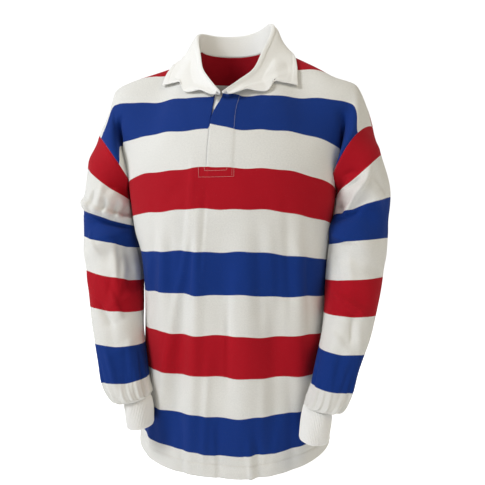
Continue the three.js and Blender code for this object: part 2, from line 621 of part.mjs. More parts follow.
// The left edge of the slit falls away from its right edge towards the neck.
function gape(row) {
  return SLIT.gap + SLIT.gape * smooth(row, hoopRow(SLIT.gapeHoop), 2) ** 1.5;
}

// Where the front panel's columns stand on a row: those next to the slit's left edge make room for it.
const CENTRE = columnPlaces.indexOf(0);
const slitRow = rowPlaces.findIndex((row) => row > hoopRow(SLIT.bottomHoop));
function frontAcross(i, j) {
  if (i === CENTRE - 1) return -SLIT.column;
  if (j < slitRow || i < CENTRE) return columnPlaces[i];
  return columnPlaces[i] + gape(rowPlaces[j]) * Math.max(0, 1 - (i - CENTRE + 1) / SLIT.roomColumns);
}

function frontPanel() {
  const vertices = [];
  const at = new Map();
  const add = (key, across, row) => {
    at.set(key, vertices.length);
    vertices.push(panelVertex('front', across, row));
  };
  columnPlaces.forEach((column, i) => {
    rowPlaces.forEach((row, j) => {
      add(`${i} ${j} 0`, frontAcross(i, j), row);
      if (i === CENTRE - 1 && j >= slitRow) add(`${i} ${j} 1`, frontAcross(i, j) + gape(row), row);
    });
  });
  const corner = (i, j, before) => {
    const pastSlit = i === CENTRE - 1 && j >= slitRow && before === 0;
    return at.get(`${i} ${j} ${pastSlit ? 1 : 0}`);
  };
  const faces = gridFaces(columnPlaces.length - 1, rowPlaces.length - 1, corner, false);
  return wall('front', COTTON.blue, vertices, faces);
}

function backPanel() {
  const vertices = columnPlaces.flatMap((place) => rowPlaces.map((row) => panelVertex('back', place, row)));
  const rows = rowPlaces.length;
  const faces = gridFaces(columnPlaces.length - 1, rows - 1, (i, j) => i * rows + j, true);
  return wall('back', COTTON.red, vertices, faces);
}

// The strip behind the slit, made from the front panel's points moved in.
function underlap() {
  const vertices = [];
  const behind = CLOTH + LAYER_GAP;
  const { underlapColumns: columns, underlapRows: rows } = STEPS;
  for (let i = 0; i <= columns; i += 1) {
    for (let j = 0; j <= rows; j += 1) {
      const across = mix(-UNDERLAP.right, UNDERLAP.left, i / columns);
      const row = mix(hoopRow(UNDERLAP.bottomHoop), 2 - UNDERLAP.top, j / rows);
      const outer = panelPoint('front', across, row, -behind);
      vertices.push({ outer, inner: panelPoint('front', across, row, -behind - CLOTH) });
    }
  }
  const faces = gridFaces(columns, rows, (i, j) => i * (rows + 1) + j, false);
  return wall('underlap', COTTON.white, vertices, faces);
}

// The places round a sleeve match the rows of the panels at its armhole.
const sleeveTurns = [];
for (let k = 0; k < 2 * STEPS.upperRows; k += 1) sleeveTurns.push(-90 + (k * 180) / STEPS.upperRows);

// A tube's faces from rings of points.
function ringFaces(rings, round, flip) {
  return gridFaces(round, rings - 1, (i, j) => (i % round) * rings + j, flip);
}

function sleeve(side) {
  const vertices = sleeveTurns.flatMap((turn) => SLEEVE_RINGS.map((hoop) => {
    if (hoop === 0) {
      const edge = armholeEdge(side, turn);
      const outer = edge.place.addScaledVector(edge.way, SEAM_GAP / 2);
      return { outer, inner: outer.clone().addScaledVector(edge.normal, -CLOTH) };
    }
    return { outer: sleevePoint(side, turn, hoop), inner: sleevePoint(side, turn, hoop, -CLOTH) };
  }));
  const faces = ringFaces(SLEEVE_RINGS.length, sleeveTurns.length, side > 0);
  return wall(`sleeve_${sideName(side)}`, side < 0 ? COTTON.red : COTTON.blue, vertices, faces);
}

function cuff(side) {
  const foot = CUFF[sideName(side)];
  const top = sleeveRow(side, SLEEVE_END);
  const rowAt = (down) => {
    const names = ['x', 'y', 'z', 'width', 'depth', 'tilt'];
    const row = Object.fromEntries(names.map((name) => [name, mix(top[name], foot[name], down)]));
    const swell = CUFF_SWELL * Math.sin(Math.PI * down);
    return { ...row, z: row.z - foot.drop, width: row.width + swell, depth: row.depth + swell };
  };
  const vertices = [];
  for (const turn of sleeveTurns) {
    for (let j = 0; j <= STEPS.cuffRows; j += 1) {
      const row = rowAt(j / STEPS.cuffRows);
      const within = { ...row, width: row.width - CUFF_CLOTH, depth: row.depth - CUFF_CLOTH };
      vertices.push({ outer: ovalPoint(side, row, turn), inner: ovalPoint(side, within, turn) });
    }
  }
  const faces = ringFaces(STEPS.cuffRows + 1, sleeveTurns.length, side > 0);
  return wall(`cuff_${sideName(side)}`, COTTON.white, vertices, faces);
}

// The neckline on the collar's seam scale, through the panels' own points.
function necklineSeam(side, face, column) {
  const start = COLLAR_START[sideName(side)];
  const front = ((column - start) / (NECK_SHARE - start)) * NECK_FRONT_SHARE;
  const share = face === 'front' ? front : 1 - (column / NECK_SHARE) * (1 - NECK_FRONT_SHARE);
  return side < 0 ? share : 2 - share;
}

const neckline = [];
for (const side of [-1, 1]) {
  const top = rowPlaces.length - 1;
  const front = [side * COLLAR_START[sideName(side)]];
  const back = [];
  const last = STEPS.neckColumns;
  for (let k = side < 0 ? 1 : 0; k <= last; k += 1) front.push(frontAcross(CENTRE + side * k, top));
  for (let k = last - 1; k >= (side < 0 ? 0 : 1); k -= 1) back.push(columnPlaces[CENTRE + side * k]);
  for (const [face, places] of [['front', front], ['back', back]]) {
    for (const across of places) {
      const { place, normal, ways } = panelEdge(face, across, 2);
      neckline.push({ seam: necklineSeam(side, face, Math.abs(across)), place, normal, way: ways.neck });
    }
  }
}
neckline.sort((a, b) => a.seam - b.seam);

function necklineEdge(seam) {
  let i = 0;
  while (i < neckline.length - 2 && seam > neckline[i + 1].seam) i += 1;
  const [a, b] = [neckline[i], neckline[i + 1]];
  const t = clamp((seam - a.seam) / (b.seam - a.seam), 0, 1);
  return {
    place: a.place.clone().lerp(b.place, t),
    normal: a.normal.clone().lerp(b.normal, t).normalize(),
    way: a.way.clone().lerp(b.way, t).normalize(),
  };
}

const collarRows = COLLAR.map((row) => {
  const edge = panelPoint(row.face, row.across, row.row, EDGE_LIFT);
  return { ...row, edgeX: edge.x, edgeY: edge.y, edgeZ: edge.z };
});
const collarLines = linesThrough(collarRows, 'seam', ['rollX', 'rollY', 'rollZ', 'edgeX', 'edgeY', 'edgeZ']);
const wave = linesThrough(LEAF_WAVE, 'along', ['drop', 'lift']);

// Places on the panels round the neck, which the collar's fall lies on.
const NECK_AREA = { across: 0.62, row: 1.42, step: 0.02 };
const REST_LIFT = 4.2; // of the fall's upper side over the panel
const neckPlaces = [];
for (const face of ['front', 'back']) {
  for (let across = -NECK_AREA.across; across <= NECK_AREA.across; across += NECK_AREA.step) {
    for (let row = NECK_AREA.row; row <= 2; row += NECK_AREA.step) {
      neckPlaces.push({ point: panelPoint(face, across, row), normal: panelNormal(face, across, row) });
    }
  }
}

// A place in the fall, moved out where it would stand in a panel.
function overPanels(place) {
  let nearest = neckPlaces[0];
  let least = Infinity;
  for (const sample of neckPlaces) {
    const distance = sample.point.distanceToSquared(place);
    if (distance < least) {
      least = distance;
      nearest = sample;
    }
  }
  const height = place.clone().sub(nearest.point).dot(nearest.normal);
  return height < REST_LIFT ? place.addScaledVector(nearest.normal, REST_LIFT - height) : place;
}

// The collar's upper side. part runs 0 to 1 up the stand, 1 to 2 over the roll, and 2 to 3 down to the free
// edge.
function collarPoint(seam, part) {
  const roll = new THREE.Vector3(collarLines.rollX(seam), collarLines.rollY(seam), collarLines.rollZ(seam));
  const edge = new THREE.Vector3(collarLines.edgeX(seam), collarLines.edgeY(seam), collarLines.edgeZ(seam));
  const foot = necklineEdge(seam);
  const start = foot.place.addScaledVector(foot.way, COLLAR_RISE).addScaledVector(foot.normal, -COLLAR_CLOTH);
  const out = edge.clone().sub(start).setZ(0).normalize();
  const up = new THREE.Vector3(0, 0, 1);
  const low = roll.addScaledVector(up, -ROLL_RADIUS);
  if (part <= 1) return start.lerp(low.addScaledVector(out, -ROLL_RADIUS), part);
  if (part < 2) {
    const angle = Math.PI * (part - 1);
    low.addScaledVector(out, -ROLL_RADIUS * Math.cos(angle));
    return low.addScaledVector(up, ROLL_RADIUS * Math.sin(angle));
  }
  const along = part - 2;
  const fallTop = low.addScaledVector(out, ROLL_RADIUS);
  const fall = fallTop.distanceTo(edge);
  const leave = up.multiplyScalar(-fall * FALL.leaveDown).addScaledVector(out, fall * FALL.leaveOut);
  const arrive = edge.clone().sub(fallTop).multiplyScalar(FALL.arriveAlong);
  arrive.addScaledVector(out, fall * FALL.arriveOut);
  const place = hermitePoint(fallTop, leave, edge, arrive, along);
  const near = 1 - smooth(Math.min(seam, 2 - seam), 0, WAVE_SEAMS);
  place.z -= wave.drop(along) * near;
  place.y -= wave.lift(along) * near;
  return overPanels(place);
}

const COLLAR_STEP = { seam: 0.004, part: 0.01, edge: 0.02 };
function collarNormal(seam, part) {
  const { seam: seamStep, part: partStep, edge } = COLLAR_STEP;
  const place = [clamp(seam, seamStep, 2 - seamStep), clamp(part, edge, 3 - edge)];
  return facing(collarPoint, ...place, seamStep, partStep);
}

function collar() {
  const parts = [];
  for (let j = 0; j < STEPS.standRows; j += 1) parts.push(j / STEPS.standRows);
  for (let j = 0; j < STEPS.rollRows; j += 1) parts.push(1 + j / STEPS.rollRows);
  for (let j = 0; j <= STEPS.fallRows; j += 1) parts.push(2 + j / STEPS.fallRows);
  const seams = [neckline[0].seam];
  for (const { seam } of neckline.slice(1)) seams.push((seams.at(-1) + seam) / 2, seam);
  const vertices = seams.flatMap((seam) => parts.map((part) => {
    const outer = collarPoint(seam, part);
    const under = part === 0 ? necklineEdge(seam).normal : collarNormal(seam, part).negate();
    return { outer, inner: outer.clone().addScaledVector(under, COLLAR_CLOTH) };
  }));
  const faces = gridFaces(seams.length - 1, parts.length - 1, (i, j) => i * parts.length + j, false);
  return wall('collar', COTTON.white, vertices, faces);
}

const shirt = new THREE.Group();
shirt.name = 'rugby_shirt';
shirt.add(frontPanel(), backPanel(), underlap());
for (const side of [-1, 1]) shirt.add(sleeve(side), cuff(side));
shirt.add(collar());

export default shirt;
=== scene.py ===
"""A hooped rugby shirt, filled out and hollow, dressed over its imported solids.

The frame is the solids' own: metres, +Z up, the front faces -Y, and +X is the wearer's left. Shapes are
worked out in millimetres and become metres when a mesh is made.
"""
import logging
import math
from dataclasses import dataclass
from enum import Enum
from typing import Callable, Optional, Sequence

import bpy
import numpy as np
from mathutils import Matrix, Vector
from mathutils.kdtree import KDTree


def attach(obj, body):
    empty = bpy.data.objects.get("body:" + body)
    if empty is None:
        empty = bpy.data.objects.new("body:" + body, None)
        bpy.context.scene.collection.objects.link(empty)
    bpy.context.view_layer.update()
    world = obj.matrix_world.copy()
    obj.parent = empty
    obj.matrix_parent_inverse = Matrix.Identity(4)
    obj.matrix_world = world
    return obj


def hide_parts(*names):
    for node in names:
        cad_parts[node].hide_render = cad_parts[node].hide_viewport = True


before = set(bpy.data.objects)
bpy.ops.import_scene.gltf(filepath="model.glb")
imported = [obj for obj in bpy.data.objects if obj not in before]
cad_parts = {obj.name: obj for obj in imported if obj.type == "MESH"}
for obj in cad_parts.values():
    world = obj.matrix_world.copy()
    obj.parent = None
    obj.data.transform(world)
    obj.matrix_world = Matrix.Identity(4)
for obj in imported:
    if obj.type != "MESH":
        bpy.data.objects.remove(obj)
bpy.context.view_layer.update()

log = logging.getLogger("rugby_shirt")
Array = np.ndarray
Surface = Callable[[Array, Array], Array]

# Lengths are in millimetres, turns in degrees, and shares run from 0 at a centre line to 1 at a side seam.
MM = 0.001
CLOTH = 1.8
SEAM_DIP = 1.3
HEM_HOOP = 672.0
HEM_STITCH = 648.0
UNDERARM_HOOP = 160.0
SHOULDER_SHARE = 0.76
NECK_SHARE = 0.36
CENTRE_TURN = -4.3
SEAM_TURN = -10.0
ROUNDNESS = 2.2
BACK_HOOP_RISE = 9.0  # the back's hoops stand this much higher than the front's at the side seams
SLEEVE_HOOP_START = 140.0  # a sleeve's first hoop is red, as the body's third colour step
SLEEVE_LONG = 550.0
HEM_STEP = (-2.0, 3.0)  # where the folded hem begins, from its stitches
FOLD_START, FOLD_FINISH = (-0.12, 0.3), (0.7, 1.12)  # where a fold grows and fades, in shares of its length
RIM_ROUND = 0.3  # how far a cut edge bulges, as a share of the cloth's thickness
UP = np.array((0.0, 0.0, 1.0))
# A stitch's thread: places along it, its width there, and the count of sides.
STITCH_PLACES = np.array((0.0, 0.22, 0.5, 0.78, 1.0))
STITCH_SWELL = np.array((0.25, 0.85, 1.0, 0.85, 0.25))
STITCH_SIDES = 6


class Face(Enum):
    """The two torso panels."""

    FRONT = "front"
    BACK = "back"


class Held(Enum):
    """How a sheet of cloth is held."""

    HUNG = "hung"
    STRETCHED = "stretched"
    FOLDED = "folded"


class Side(Enum):
    """The wearer's sides, by the sign of X."""

    RIGHT = -1
    LEFT = 1

    @property
    def word(self) -> str:
        """The side's name in node names."""
        return self.name.lower()


def mix(start: Array, end: Array, share: Array) -> Array:
    """A value between start and end."""
    return start + (end - start) * share


def smooth(value: Array, low: float, high: float) -> Array:
    """A soft step from 0 at low to 1 at high."""
    t = np.clip((np.asarray(value, float) - low) / (high - low), 0, 1)
    return t * t * (3 - 2 * t)


def dot(a: Array, b: Array) -> Array:
    """Row-wise scalar product, kept as a column."""
    return (a * b).sum(-1, keepdims=True)


def unit(vectors: Array) -> Array:
    """Vectors of length 1."""
    return vectors / np.maximum(np.linalg.norm(vectors, axis=-1, keepdims=True), 1e-9)


def col(values: Array) -> Array:
    """Values as a column that multiplies vectors."""
    return np.asarray(values, float)[..., None]


def stack(x: Array, y: Array, z: Array) -> Array:
    """Three coordinate arrays as points."""
    return np.stack(np.broadcast_arrays(x, y, z), -1).astype(float)


def hermite(start: Array, leave: Array, end: Array, arrive: Array, t: Array) -> Array:
    """A cubic from start to end that leaves and arrives with the given pulls.

    Args:
        start: Where it starts.
        leave: The pull at its start.
        end: Where it ends.
        arrive: The pull at its end.
        t: Shares of the way.

    Returns:
        The values or points.
    """
    t2, t3 = t * t, t * t * t
    begun = start * (2 * t3 - 3 * t2 + 1) + leave * (t3 - 2 * t2 + t)
    return begun + end * (3 * t2 - 2 * t3) + arrive * (t3 - t2)


class SmoothLine:
    """A smooth line through one column of a table, read at any place between its ends."""

    def __init__(self, places: Sequence[float], values: Sequence[float]) -> None:
        """Keeps the table and works out a slope at each row.

        Args:
            places: The rows' places, which rise.
            values: The value at each place.
        """
        self.places, self.values = np.array(places, float), np.array(values, float)
        rows = np.arange(len(self.places))
        before, after = np.maximum(rows - 1, 0), np.minimum(rows + 1, len(rows) - 1)
        self.slopes = (self.values[after] - self.values[before]) / (self.places[after] - self.places[before])

    def __call__(self, place: Array) -> Array:
        """The line's value at each place.

        Args:
            place: Where the line is read.

        Returns:
            A value for each place.
        """
        place = np.asarray(place, float)
        i = np.clip(np.searchsorted(self.places, place, side="left") - 1, 0, len(self.places) - 2)
        span = self.places[i + 1] - self.places[i]
        t = np.clip((place - self.places[i]) / span, 0, 1)
        leave, arrive = self.slopes[i] * span, self.slopes[i + 1] * span
        return hermite(self.values[i], leave, self.values[i + 1], arrive, t)


def lines(names: str, rows: Sequence[tuple[float, ...]]) -> dict[str, SmoothLine]:
    """Reads a table whose first column is the place.

    Args:
        names: The columns' names, in order, with spaces between them.
        rows: The table's rows.

    Returns:
        A smooth line for each column after the first.
    """
    table = np.array(rows, float)
    return {name: SmoothLine(table[:, 0], table[:, k + 1]) for k, name in enumerate(names.split()[1:])}


@dataclass(frozen=True)
class Fold:
    """A soft ridge between two places, or a trough where rise is below 0.

    lean makes its two flanks unlike.
    """

    start: tuple[float, float]
    end: tuple[float, float]
    width: float
    rise: float
    lean: float = 0.0

    def lift(self, u: Array, v: Array, stretch: Array = 1.0) -> Array:
        """How much the fold lifts the cloth.

        Args:
            u: Places in the fold's first direction.
            v: Places in its second direction.
            stretch: What the first coordinates of start and end are multiplied by.

        Returns:
            The lift at each place, in millimetres.
        """
        du, dv = (self.end[0] - self.start[0]) * stretch, self.end[1] - self.start[1]
        long = np.sqrt(du * du + dv * dv)
        pu, pv = u - self.start[0] * stretch, v - self.start[1]
        run, off = (pu * du + pv * dv) / long, (pu * dv - pv * du) / long
        share = run / long
        ends = smooth(share, *FOLD_START) * (1 - smooth(share, *FOLD_FINISH))
        width = self.width * (1 + self.lean * np.tanh(off / self.width))
        return self.rise * np.exp(-((off / width) ** 2)) * ends


def facing(surface: Surface, u: Array, v: Array, step_u: float, step_v: float) -> Array:
    """The direction in which a surface faces, from steps to both sides of each place."""
    du = surface(u + step_u, v) - surface(u - step_u, v)
    dv = surface(u, v + step_v) - surface(u, v - step_v)
    return unit(np.cross(du, dv))


BODY = lines("hoop mid right left width centre front back", (
    (160, -257, -262, -266, 203, -6, 121, 127),
    (210, -308, -313, -322, 196, -6, 119, 124),
    (245, -344, -347, -356, 191, -5, 117, 121),
    (280, -381, -382, -391, 183, -2, 115, 118),
    (350, -456, -454, -464, 177, 0, 113, 115),
    (420, -526, -524, -531, 176, 0, 114, 116),
    (490, -596, -595, -600, 178, 0, 117, 120),
    (560, -662, -654, -650, 180, 0, 122, 124),
    (630, -724, -708, -704, 182, 0, 127, 127),
    (672, -760, -740, -735, 184, 0, 130, 129),
))
SHOULDER = {
    Side.RIGHT: lines("share x y z", (
        (0.36, 68, 4, 17), (0.48, 114, 5, -9), (0.58, 156, 6, -24), (0.68, 200, 7, -38),
        (0.76, 236, 8, -53), (0.81, 247, 9, -71), (0.9, 263, 9, -105), (1, 284, 8, -144),
    )),
    Side.LEFT: lines("share x y z", (
        (0.36, 68, 4, 22), (0.48, 114, 5, -2), (0.59, 156, 5, -26), (0.69, 193, 6, -49),
        (0.78, 231, 7, -63), (0.83, 244, 7, -77), (0.91, 259, 7, -110), (1, 268, 6, -143),
    )),
}
NECK_CENTRE = {Face.FRONT: (-9.0, -84.0, -100.0), Face.BACK: (4.0, 62.0, 26.0)}
NECK_PULL = {Face.FRONT: 0.95, Face.BACK: 0.8}
# How far the front's hoops hang lower towards the right and left side seams, by their place at the centre.
HOOP_SAG = lines("hoop right left", (
    (-70, -4, 0), (0, -5, 3), (70, 1, 16), (140, 8, 18), (210, 4.5, 9), (280, -2, 6), (350, 0, 0),
    (700, 0, 0),
))
# How the armhole leaves the underarm and arrives at the shoulder: inward, out of the panel, and down.
ARMHOLE_LEAVE = {Face.FRONT: (100.0, 150.0, 10.0), Face.BACK: (50.0, 260.0, 16.0)}
ARMHOLE_ARRIVE = {Face.FRONT: (170.0, 440.0, 70.0), Face.BACK: (50.0, 300.0, 16.0)}

# On the torso a fold's places are the distance from the centre line and the place on the hoop scale.
TORSO_FOLDS = {
    Face.FRONT: (
        Fold((-38, 170), (-52, 660), 13, 7), Fold((-66, 230), (-84, 640), 15, -7),
        Fold((-100, 240), (-112, 600), 16, 5), Fold((4, 240), (6, 600), 20, -4),
        Fold((46, 230), (40, 720), 24, 5), Fold((92, 260), (96, 640), 18, -5),
        Fold((132, 230), (138, 560), 16, 5),
    ),
    Face.BACK: (
        Fold((-92, 180), (-104, 700), 22, -7), Fold((-44, 220), (-40, 700), 20, 6),
        Fold((30, 190), (22, 690), 22, -6), Fold((96, 200), (110, 700), 22, 7),
    ),
}
# The finer creases between and across the large folds.
TORSO_CREASES = {
    Face.FRONT: (
        Fold((-46, 132), (-61, 282), 6, 3.4, 0.4), Fold((-60, 256), (-78, 346), 6, 4.6, 0.4),
        Fold((-76, 322), (-98, 478), 7, 4.6, 0.3), Fold((-96, 440), (-112, 620), 8, 3.8),
        Fold((-92, 246), (-94, 366), 7, -4.0, 0.3), Fold((-107, 236), (-112, 384), 6, 3.2),
        Fold((-49, 250), (-57, 356), 6, -4.2, -0.3), Fold((-24, 180), (-36, 330), 5, -2.2, -0.4),
        Fold((-124, 200), (-138, 420), 8, -3.4), Fold((12, 370), (16, 524), 7, -2.8, 0.5),
        Fold((26, 300), (18, 520), 8, 2.6, 0.4), Fold((65, 226), (69, 424), 10, -3.4, -0.3),
        Fold((84, 236), (92, 380), 7, 2.4, 0.4), Fold((112, 190), (122, 400), 8, -3.0, 0.3),
        Fold((148, 206), (152, 430), 7, -3.6), Fold((-20, 460), (-28, 672), 7, 2.8),
        Fold((76, 480), (70, 660), 9, 2.8, 0.3), Fold((118, 470), (126, 690), 9, -3.4),
        Fold((-126, 480), (-136, 690), 8, 3.0), Fold((-4, 560), (2, 700), 6, -2.6, 0.5),
        Fold((50, 590), (57, 710), 5, 4.6, 0.5), Fold((64, 590), (70, 710), 6, -3.4, -0.3),
        Fold((-70, 560), (-62, 700), 7, -3.0), Fold((-150, 330), (-120, 268), 7, 2.2),
        Fold((-158, 560), (-140, 690), 8, -2.0), Fold((150, 300), (118, 252), 8, 1.8),
        Fold((-60, 80), (-120, 124), 16, 2.2), Fold((70, 76), (128, 120), 18, 2.0),
        Fold((40, 150), (96, 214), 12, -1.6), Fold((-56, 150), (-104, 206), 12, -1.8),
        Fold((104, 560), (84, 690), 6, 1.8, 0.4),
    ),
    Face.BACK: (
        Fold((-120, 300), (-132, 540), 9, 2.6, 0.3), Fold((-70, 160), (-76, 430), 9, 2.2),
        Fold((-14, 250), (-20, 560), 10, 2.4, 0.3), Fold((4, 400), (10, 690), 9, -2.2),
        Fold((60, 180), (66, 480), 9, 2.4, -0.3), Fold((74, 430), (78, 690), 9, -2.4),
        Fold((128, 260), (138, 560), 9, -2.4), Fold((-60, 520), (-66, 700), 8, 2.2),
        Fold((130, 560), (120, 700), 8, 2.2), Fold((-90, 40), (-30, 92), 18, 2.2),
        Fold((96, 44), (34, 96), 18, 2.2), Fold((-110, 110), (-60, 170), 14, -2.0),
        Fold((112, 112), (64, 172), 14, -2.0),
    ),
}
# The crease between the chest or the shoulder blade and the arm, in shares of the columns and rows.
ARM_CREASES = {
    Face.FRONT: (Fold((1.02, 1.35), (0.75, 1.38), 0.05, 22), Fold((0.84, 1.34), (0.73, 1.5), 0.035, 8)),
    Face.BACK: (Fold((1.0, 1.3), (0.74, 1.4), 0.06, 16),),
}


def row_hoop(row: Array) -> Array:
    """Where a row stands on the hoop scale near the centre line."""
    return np.where(row <= 1, mix(HEM_HOOP, UNDERARM_HOOP, row), UNDERARM_HOOP * (2 - row))


def hoop_row(hoop: float) -> float:
    """The row that stands at a place on the hoop scale near the centre line."""
    lower = (HEM_HOOP - hoop) / (HEM_HOOP - UNDERARM_HOOP)
    return lower if hoop >= UNDERARM_HOOP else 2 - hoop / UNDERARM_HOOP


@dataclass(frozen=True)
class Torso:
    """The form of the front and back panels.

    across runs from -1, the right side seam, to 1, the left one. row runs from 0, the hem, over 1, the
    underarm, to 2, the top edge.
    """

    step: float = 0.004
    seam_turn_hoop: float = 330.0
    neck_fade: float = 1.88
    neck_arrive: tuple[float, float] = (0.5, 0.86)
    leave_pull: float = 1.25
    armhole_fade: float = 0.72
    broad_columns: tuple[float, float] = (0.42, 0.74)
    over_share: tuple[float, float] = (0.55, 1.1)
    over_more: tuple[float, float] = (20.0, 165.0)
    seam_fade: float = 0.93
    crease_fade: float = 0.95

    def height(self, hoop: Array, angle: Array) -> Array:
        """The height of the section at an angle from the front, towards the wearer's left."""
        s, mid = np.sin(angle), BODY["mid"](hoop)
        return np.where(s < 0, mix(mid, BODY["right"](hoop), s**4), mix(mid, BODY["left"](hoop), s**2))

    def section(self, face: Face, side: Array, column: Array, hoop: Array) -> Array:
        """A place on the section at one place on the hoop scale.

        Args:
            face: The panel.
            side: -1 on the right half and 1 on the left one.
            column: Shares from the centre line to the side seam.
            hoop: Places on the hoop scale.

        Returns:
            The points, in millimetres.
        """
        quarter = side * 90 * column
        seam_turn = SEAM_TURN * smooth(hoop, UNDERARM_HOOP, self.seam_turn_hoop)
        turn = CENTRE_TURN * (1 - column) + seam_turn * column
        angle = np.radians((quarter if face is Face.FRONT else 180 - quarter) + turn)
        s, c = np.sin(angle), np.cos(angle)
        reach = (np.abs(s) ** ROUNDNESS + np.abs(c) ** ROUNDNESS) ** (-1 / ROUNDNESS)
        depth = np.where(c > 0, BODY["front"](hoop), BODY["back"](hoop))
        x = BODY["centre"](hoop) * s * s + BODY["width"](hoop) * reach * s
        return stack(x, -depth * reach * c, self.height(hoop, angle))

    def top(self, face: Face, side: Array, column: Array) -> Array:
        """The top edge: the neckline, the shoulder seam, and the line down to the top of the armhole.

        Args:
            face: The panel.
            side: -1 on the right half and 1 on the left one.
            column: Shares from the centre line to the side seam.

        Returns:
            The points, in millimetres.
        """
        share = np.maximum(column, NECK_SHARE)
        right, left = SHOULDER[Side.RIGHT], SHOULDER[Side.LEFT]
        sx, sy, sz = (np.where(side < 0, right[n](share), left[n](share)) for n in "xyz")
        turn = np.minimum(column / NECK_SHARE, 1) * (math.pi / 2)
        cx, cy, cz = NECK_CENTRE[face]
        neck = stack(
            cx * np.cos(turn) + side * sx * np.sin(turn),
            mix(sy, cy, np.cos(turn)),
            mix(sz, cz, np.cos(turn)),
        )
        return np.where(col(column >= NECK_SHARE), stack(side * sx, sy, sz), neck)

    def upper(self, face: Face, side: Array, column: Array, rise: Array) -> Array:
        """The panel above the underarm level, where rise is 0, up to its top edge, where it is 1.

        Args:
            face: The panel.
            side: -1 on the right half and 1 on the left one.
            column: Shares from the centre line to the side seam.
            rise: Shares of the way up.

        Returns:
            The points, in millimetres.
        """
        start = self.section(face, side, column, np.full_like(column, UNDERARM_HOOP))
        below = self.section(face, side, column, np.full_like(column, UNDERARM_HOOP + 20))
        end = self.top(face, side, column)
        out = -1.0 if face is Face.FRONT else 1.0
        high = end[..., 2] - start[..., 2]
        leave = unit(start - below) * col(high * self.leave_pull)
        forward, climb = self.neck_arrive
        arrive = np.array((0, -out * forward, climb)) * col(high * NECK_PULL[face])
        broad = smooth(column, *self.broad_columns)
        deep = np.abs(end[..., 1] - start[..., 1])
        over = deep * mix(*self.over_share, broad) + mix(*self.over_more, broad)
        back = stack(0 * over, -out * over, 0 * over)
        arrive = mix(arrive, back, col(smooth(column, 0, NECK_SHARE * 1.1)))
        low, high = ARMHOLE_LEAVE[face], ARMHOLE_ARRIVE[face]
        beside = stack(-side * low[0], out * low[1], -low[2])
        leave = mix(leave, beside, col(smooth(column, self.armhole_fade, 1)))
        above = stack(side * high[0], -out * high[1], high[2])
        arrive = mix(arrive, above, col(smooth(column, SHOULDER_SHARE, 1)))
        return hermite(start, leave, end, arrive, col(rise))

    def plain(self, face: Face, across: Array, row: Array) -> Array:
        """A place on a panel before its folds.

        Args:
            face: The panel.
            across: Places across, from -1 to 1.
            row: Rows, from 0 to 2.

        Returns:
            The points, in millimetres.
        """
        across, row = np.broadcast_arrays(np.asarray(across, float), np.asarray(row, float))
        side, column = np.where(across < 0, -1.0, 1.0), np.minimum(np.abs(across), 1)
        lower = self.section(face, side, column, mix(HEM_HOOP, UNDERARM_HOOP, np.minimum(row, 1)))
        return np.where(col(row <= 1), lower, self.upper(face, side, column, np.maximum(row - 1, 0)))

    def normal(self, face: Face, across: Array, row: Array) -> Array:
        """The direction in which a panel faces before its folds.

        Args:
            face: The panel.
            across: Places across, from -1 to 1.
            row: Rows, from 0 to 2.

        Returns:
            Directions of length 1.
        """
        edge = self.step * 1.01
        a, r = np.clip(across, -1 + edge, 1 - edge), np.clip(row, edge, 2 - edge)
        normal = facing(lambda u, v: self.plain(face, u, v), a, r, self.step, self.step)
        return normal if face is Face.FRONT else -normal

    def rise(self, face: Face, across: Array, row: Array, x: Array) -> Array:
        """How far the folds and creases lift the cloth.

        Args:
            face: The panel.
            across: Places across, from -1 to 1.
            row: Rows, from 0 to 2.
            x: The places' X before their folds.

        Returns:
            The lift at each place.
        """
        column, hoop = np.abs(across), row_hoop(row)
        off = x - NECK_CENTRE[face][0]
        rise = sum(f.lift(off, hoop) for f in TORSO_FOLDS[face] + TORSO_CREASES[face])
        return rise * (1 - smooth(column, self.seam_fade, 1)) * (1 - smooth(row, self.neck_fade, 2))

    def sink(self, face: Face, across: Array, row: Array) -> Array:
        """How far the crease before the arm sinks into the body.

        Args:
            face: The panel.
            across: Places across, from -1 to 1.
            row: Rows, from 0 to 2.

        Returns:
            The move of each place.
        """
        column = np.abs(across)
        fade = 1 - smooth(column, self.crease_fade, 1)
        depth = sum(f.lift(column, row) for f in ARM_CREASES[face]) * fade
        inward = 1.0 if face is Face.FRONT else -1.0
        return stack(0 * depth, inward * depth, 0 * depth)

    def point(self, face: Face, across: Array, row: Array, lift: Array = 0.0) -> Array:
        """A place on a panel's outer side, moved out by lift.

        Args:
            face: The panel.
            across: Places across, from -1 to 1.
            row: Rows, from 0 to 2.
            lift: How far the places are moved out.

        Returns:
            The points, in millimetres.
        """
        across, row = np.broadcast_arrays(np.asarray(across, float), np.asarray(row, float))
        plain = self.plain(face, across, row)
        rise = self.rise(face, across, row, plain[..., 0]) + lift
        return plain + self.normal(face, across, row) * col(rise) + self.sink(face, across, row)

    @staticmethod
    def armhole_place(side: Side, turn: Array) -> tuple[Array, Array, Array]:
        """Whether a turn is on the front, and the place across and row of the armhole seam there."""
        angle = np.mod(np.asarray(turn, float) + 90, 360)
        row = 1 + np.minimum(angle, 360 - angle) / 180
        return col(angle <= 180), np.full_like(row, float(side.value)), row

    def armhole(self, side: Side, turn: Array) -> Array:
        """The armhole seam: turn is -90 under the arm, 0 at its front, 90 on top and 180 at the back."""
        ahead, across, row = self.armhole_place(side, turn)
        return np.where(ahead, self.point(Face.FRONT, across, row), self.point(Face.BACK, across, row))

    def armhole_normal(self, side: Side, turn: Array) -> Array:
        """The direction that the panels face at the armhole seam.

        Args:
            side: The wearer's side.
            turn: Turns round the armhole.

        Returns:
            Directions of length 1.
        """
        ahead, across, row = self.armhole_place(side, turn)
        front, back = self.normal(Face.FRONT, across, row), self.normal(Face.BACK, across, row)
        both = (row <= 1.001) | (row >= 1.999)
        return np.where(col(both), unit(front + back), np.where(ahead, front, back))


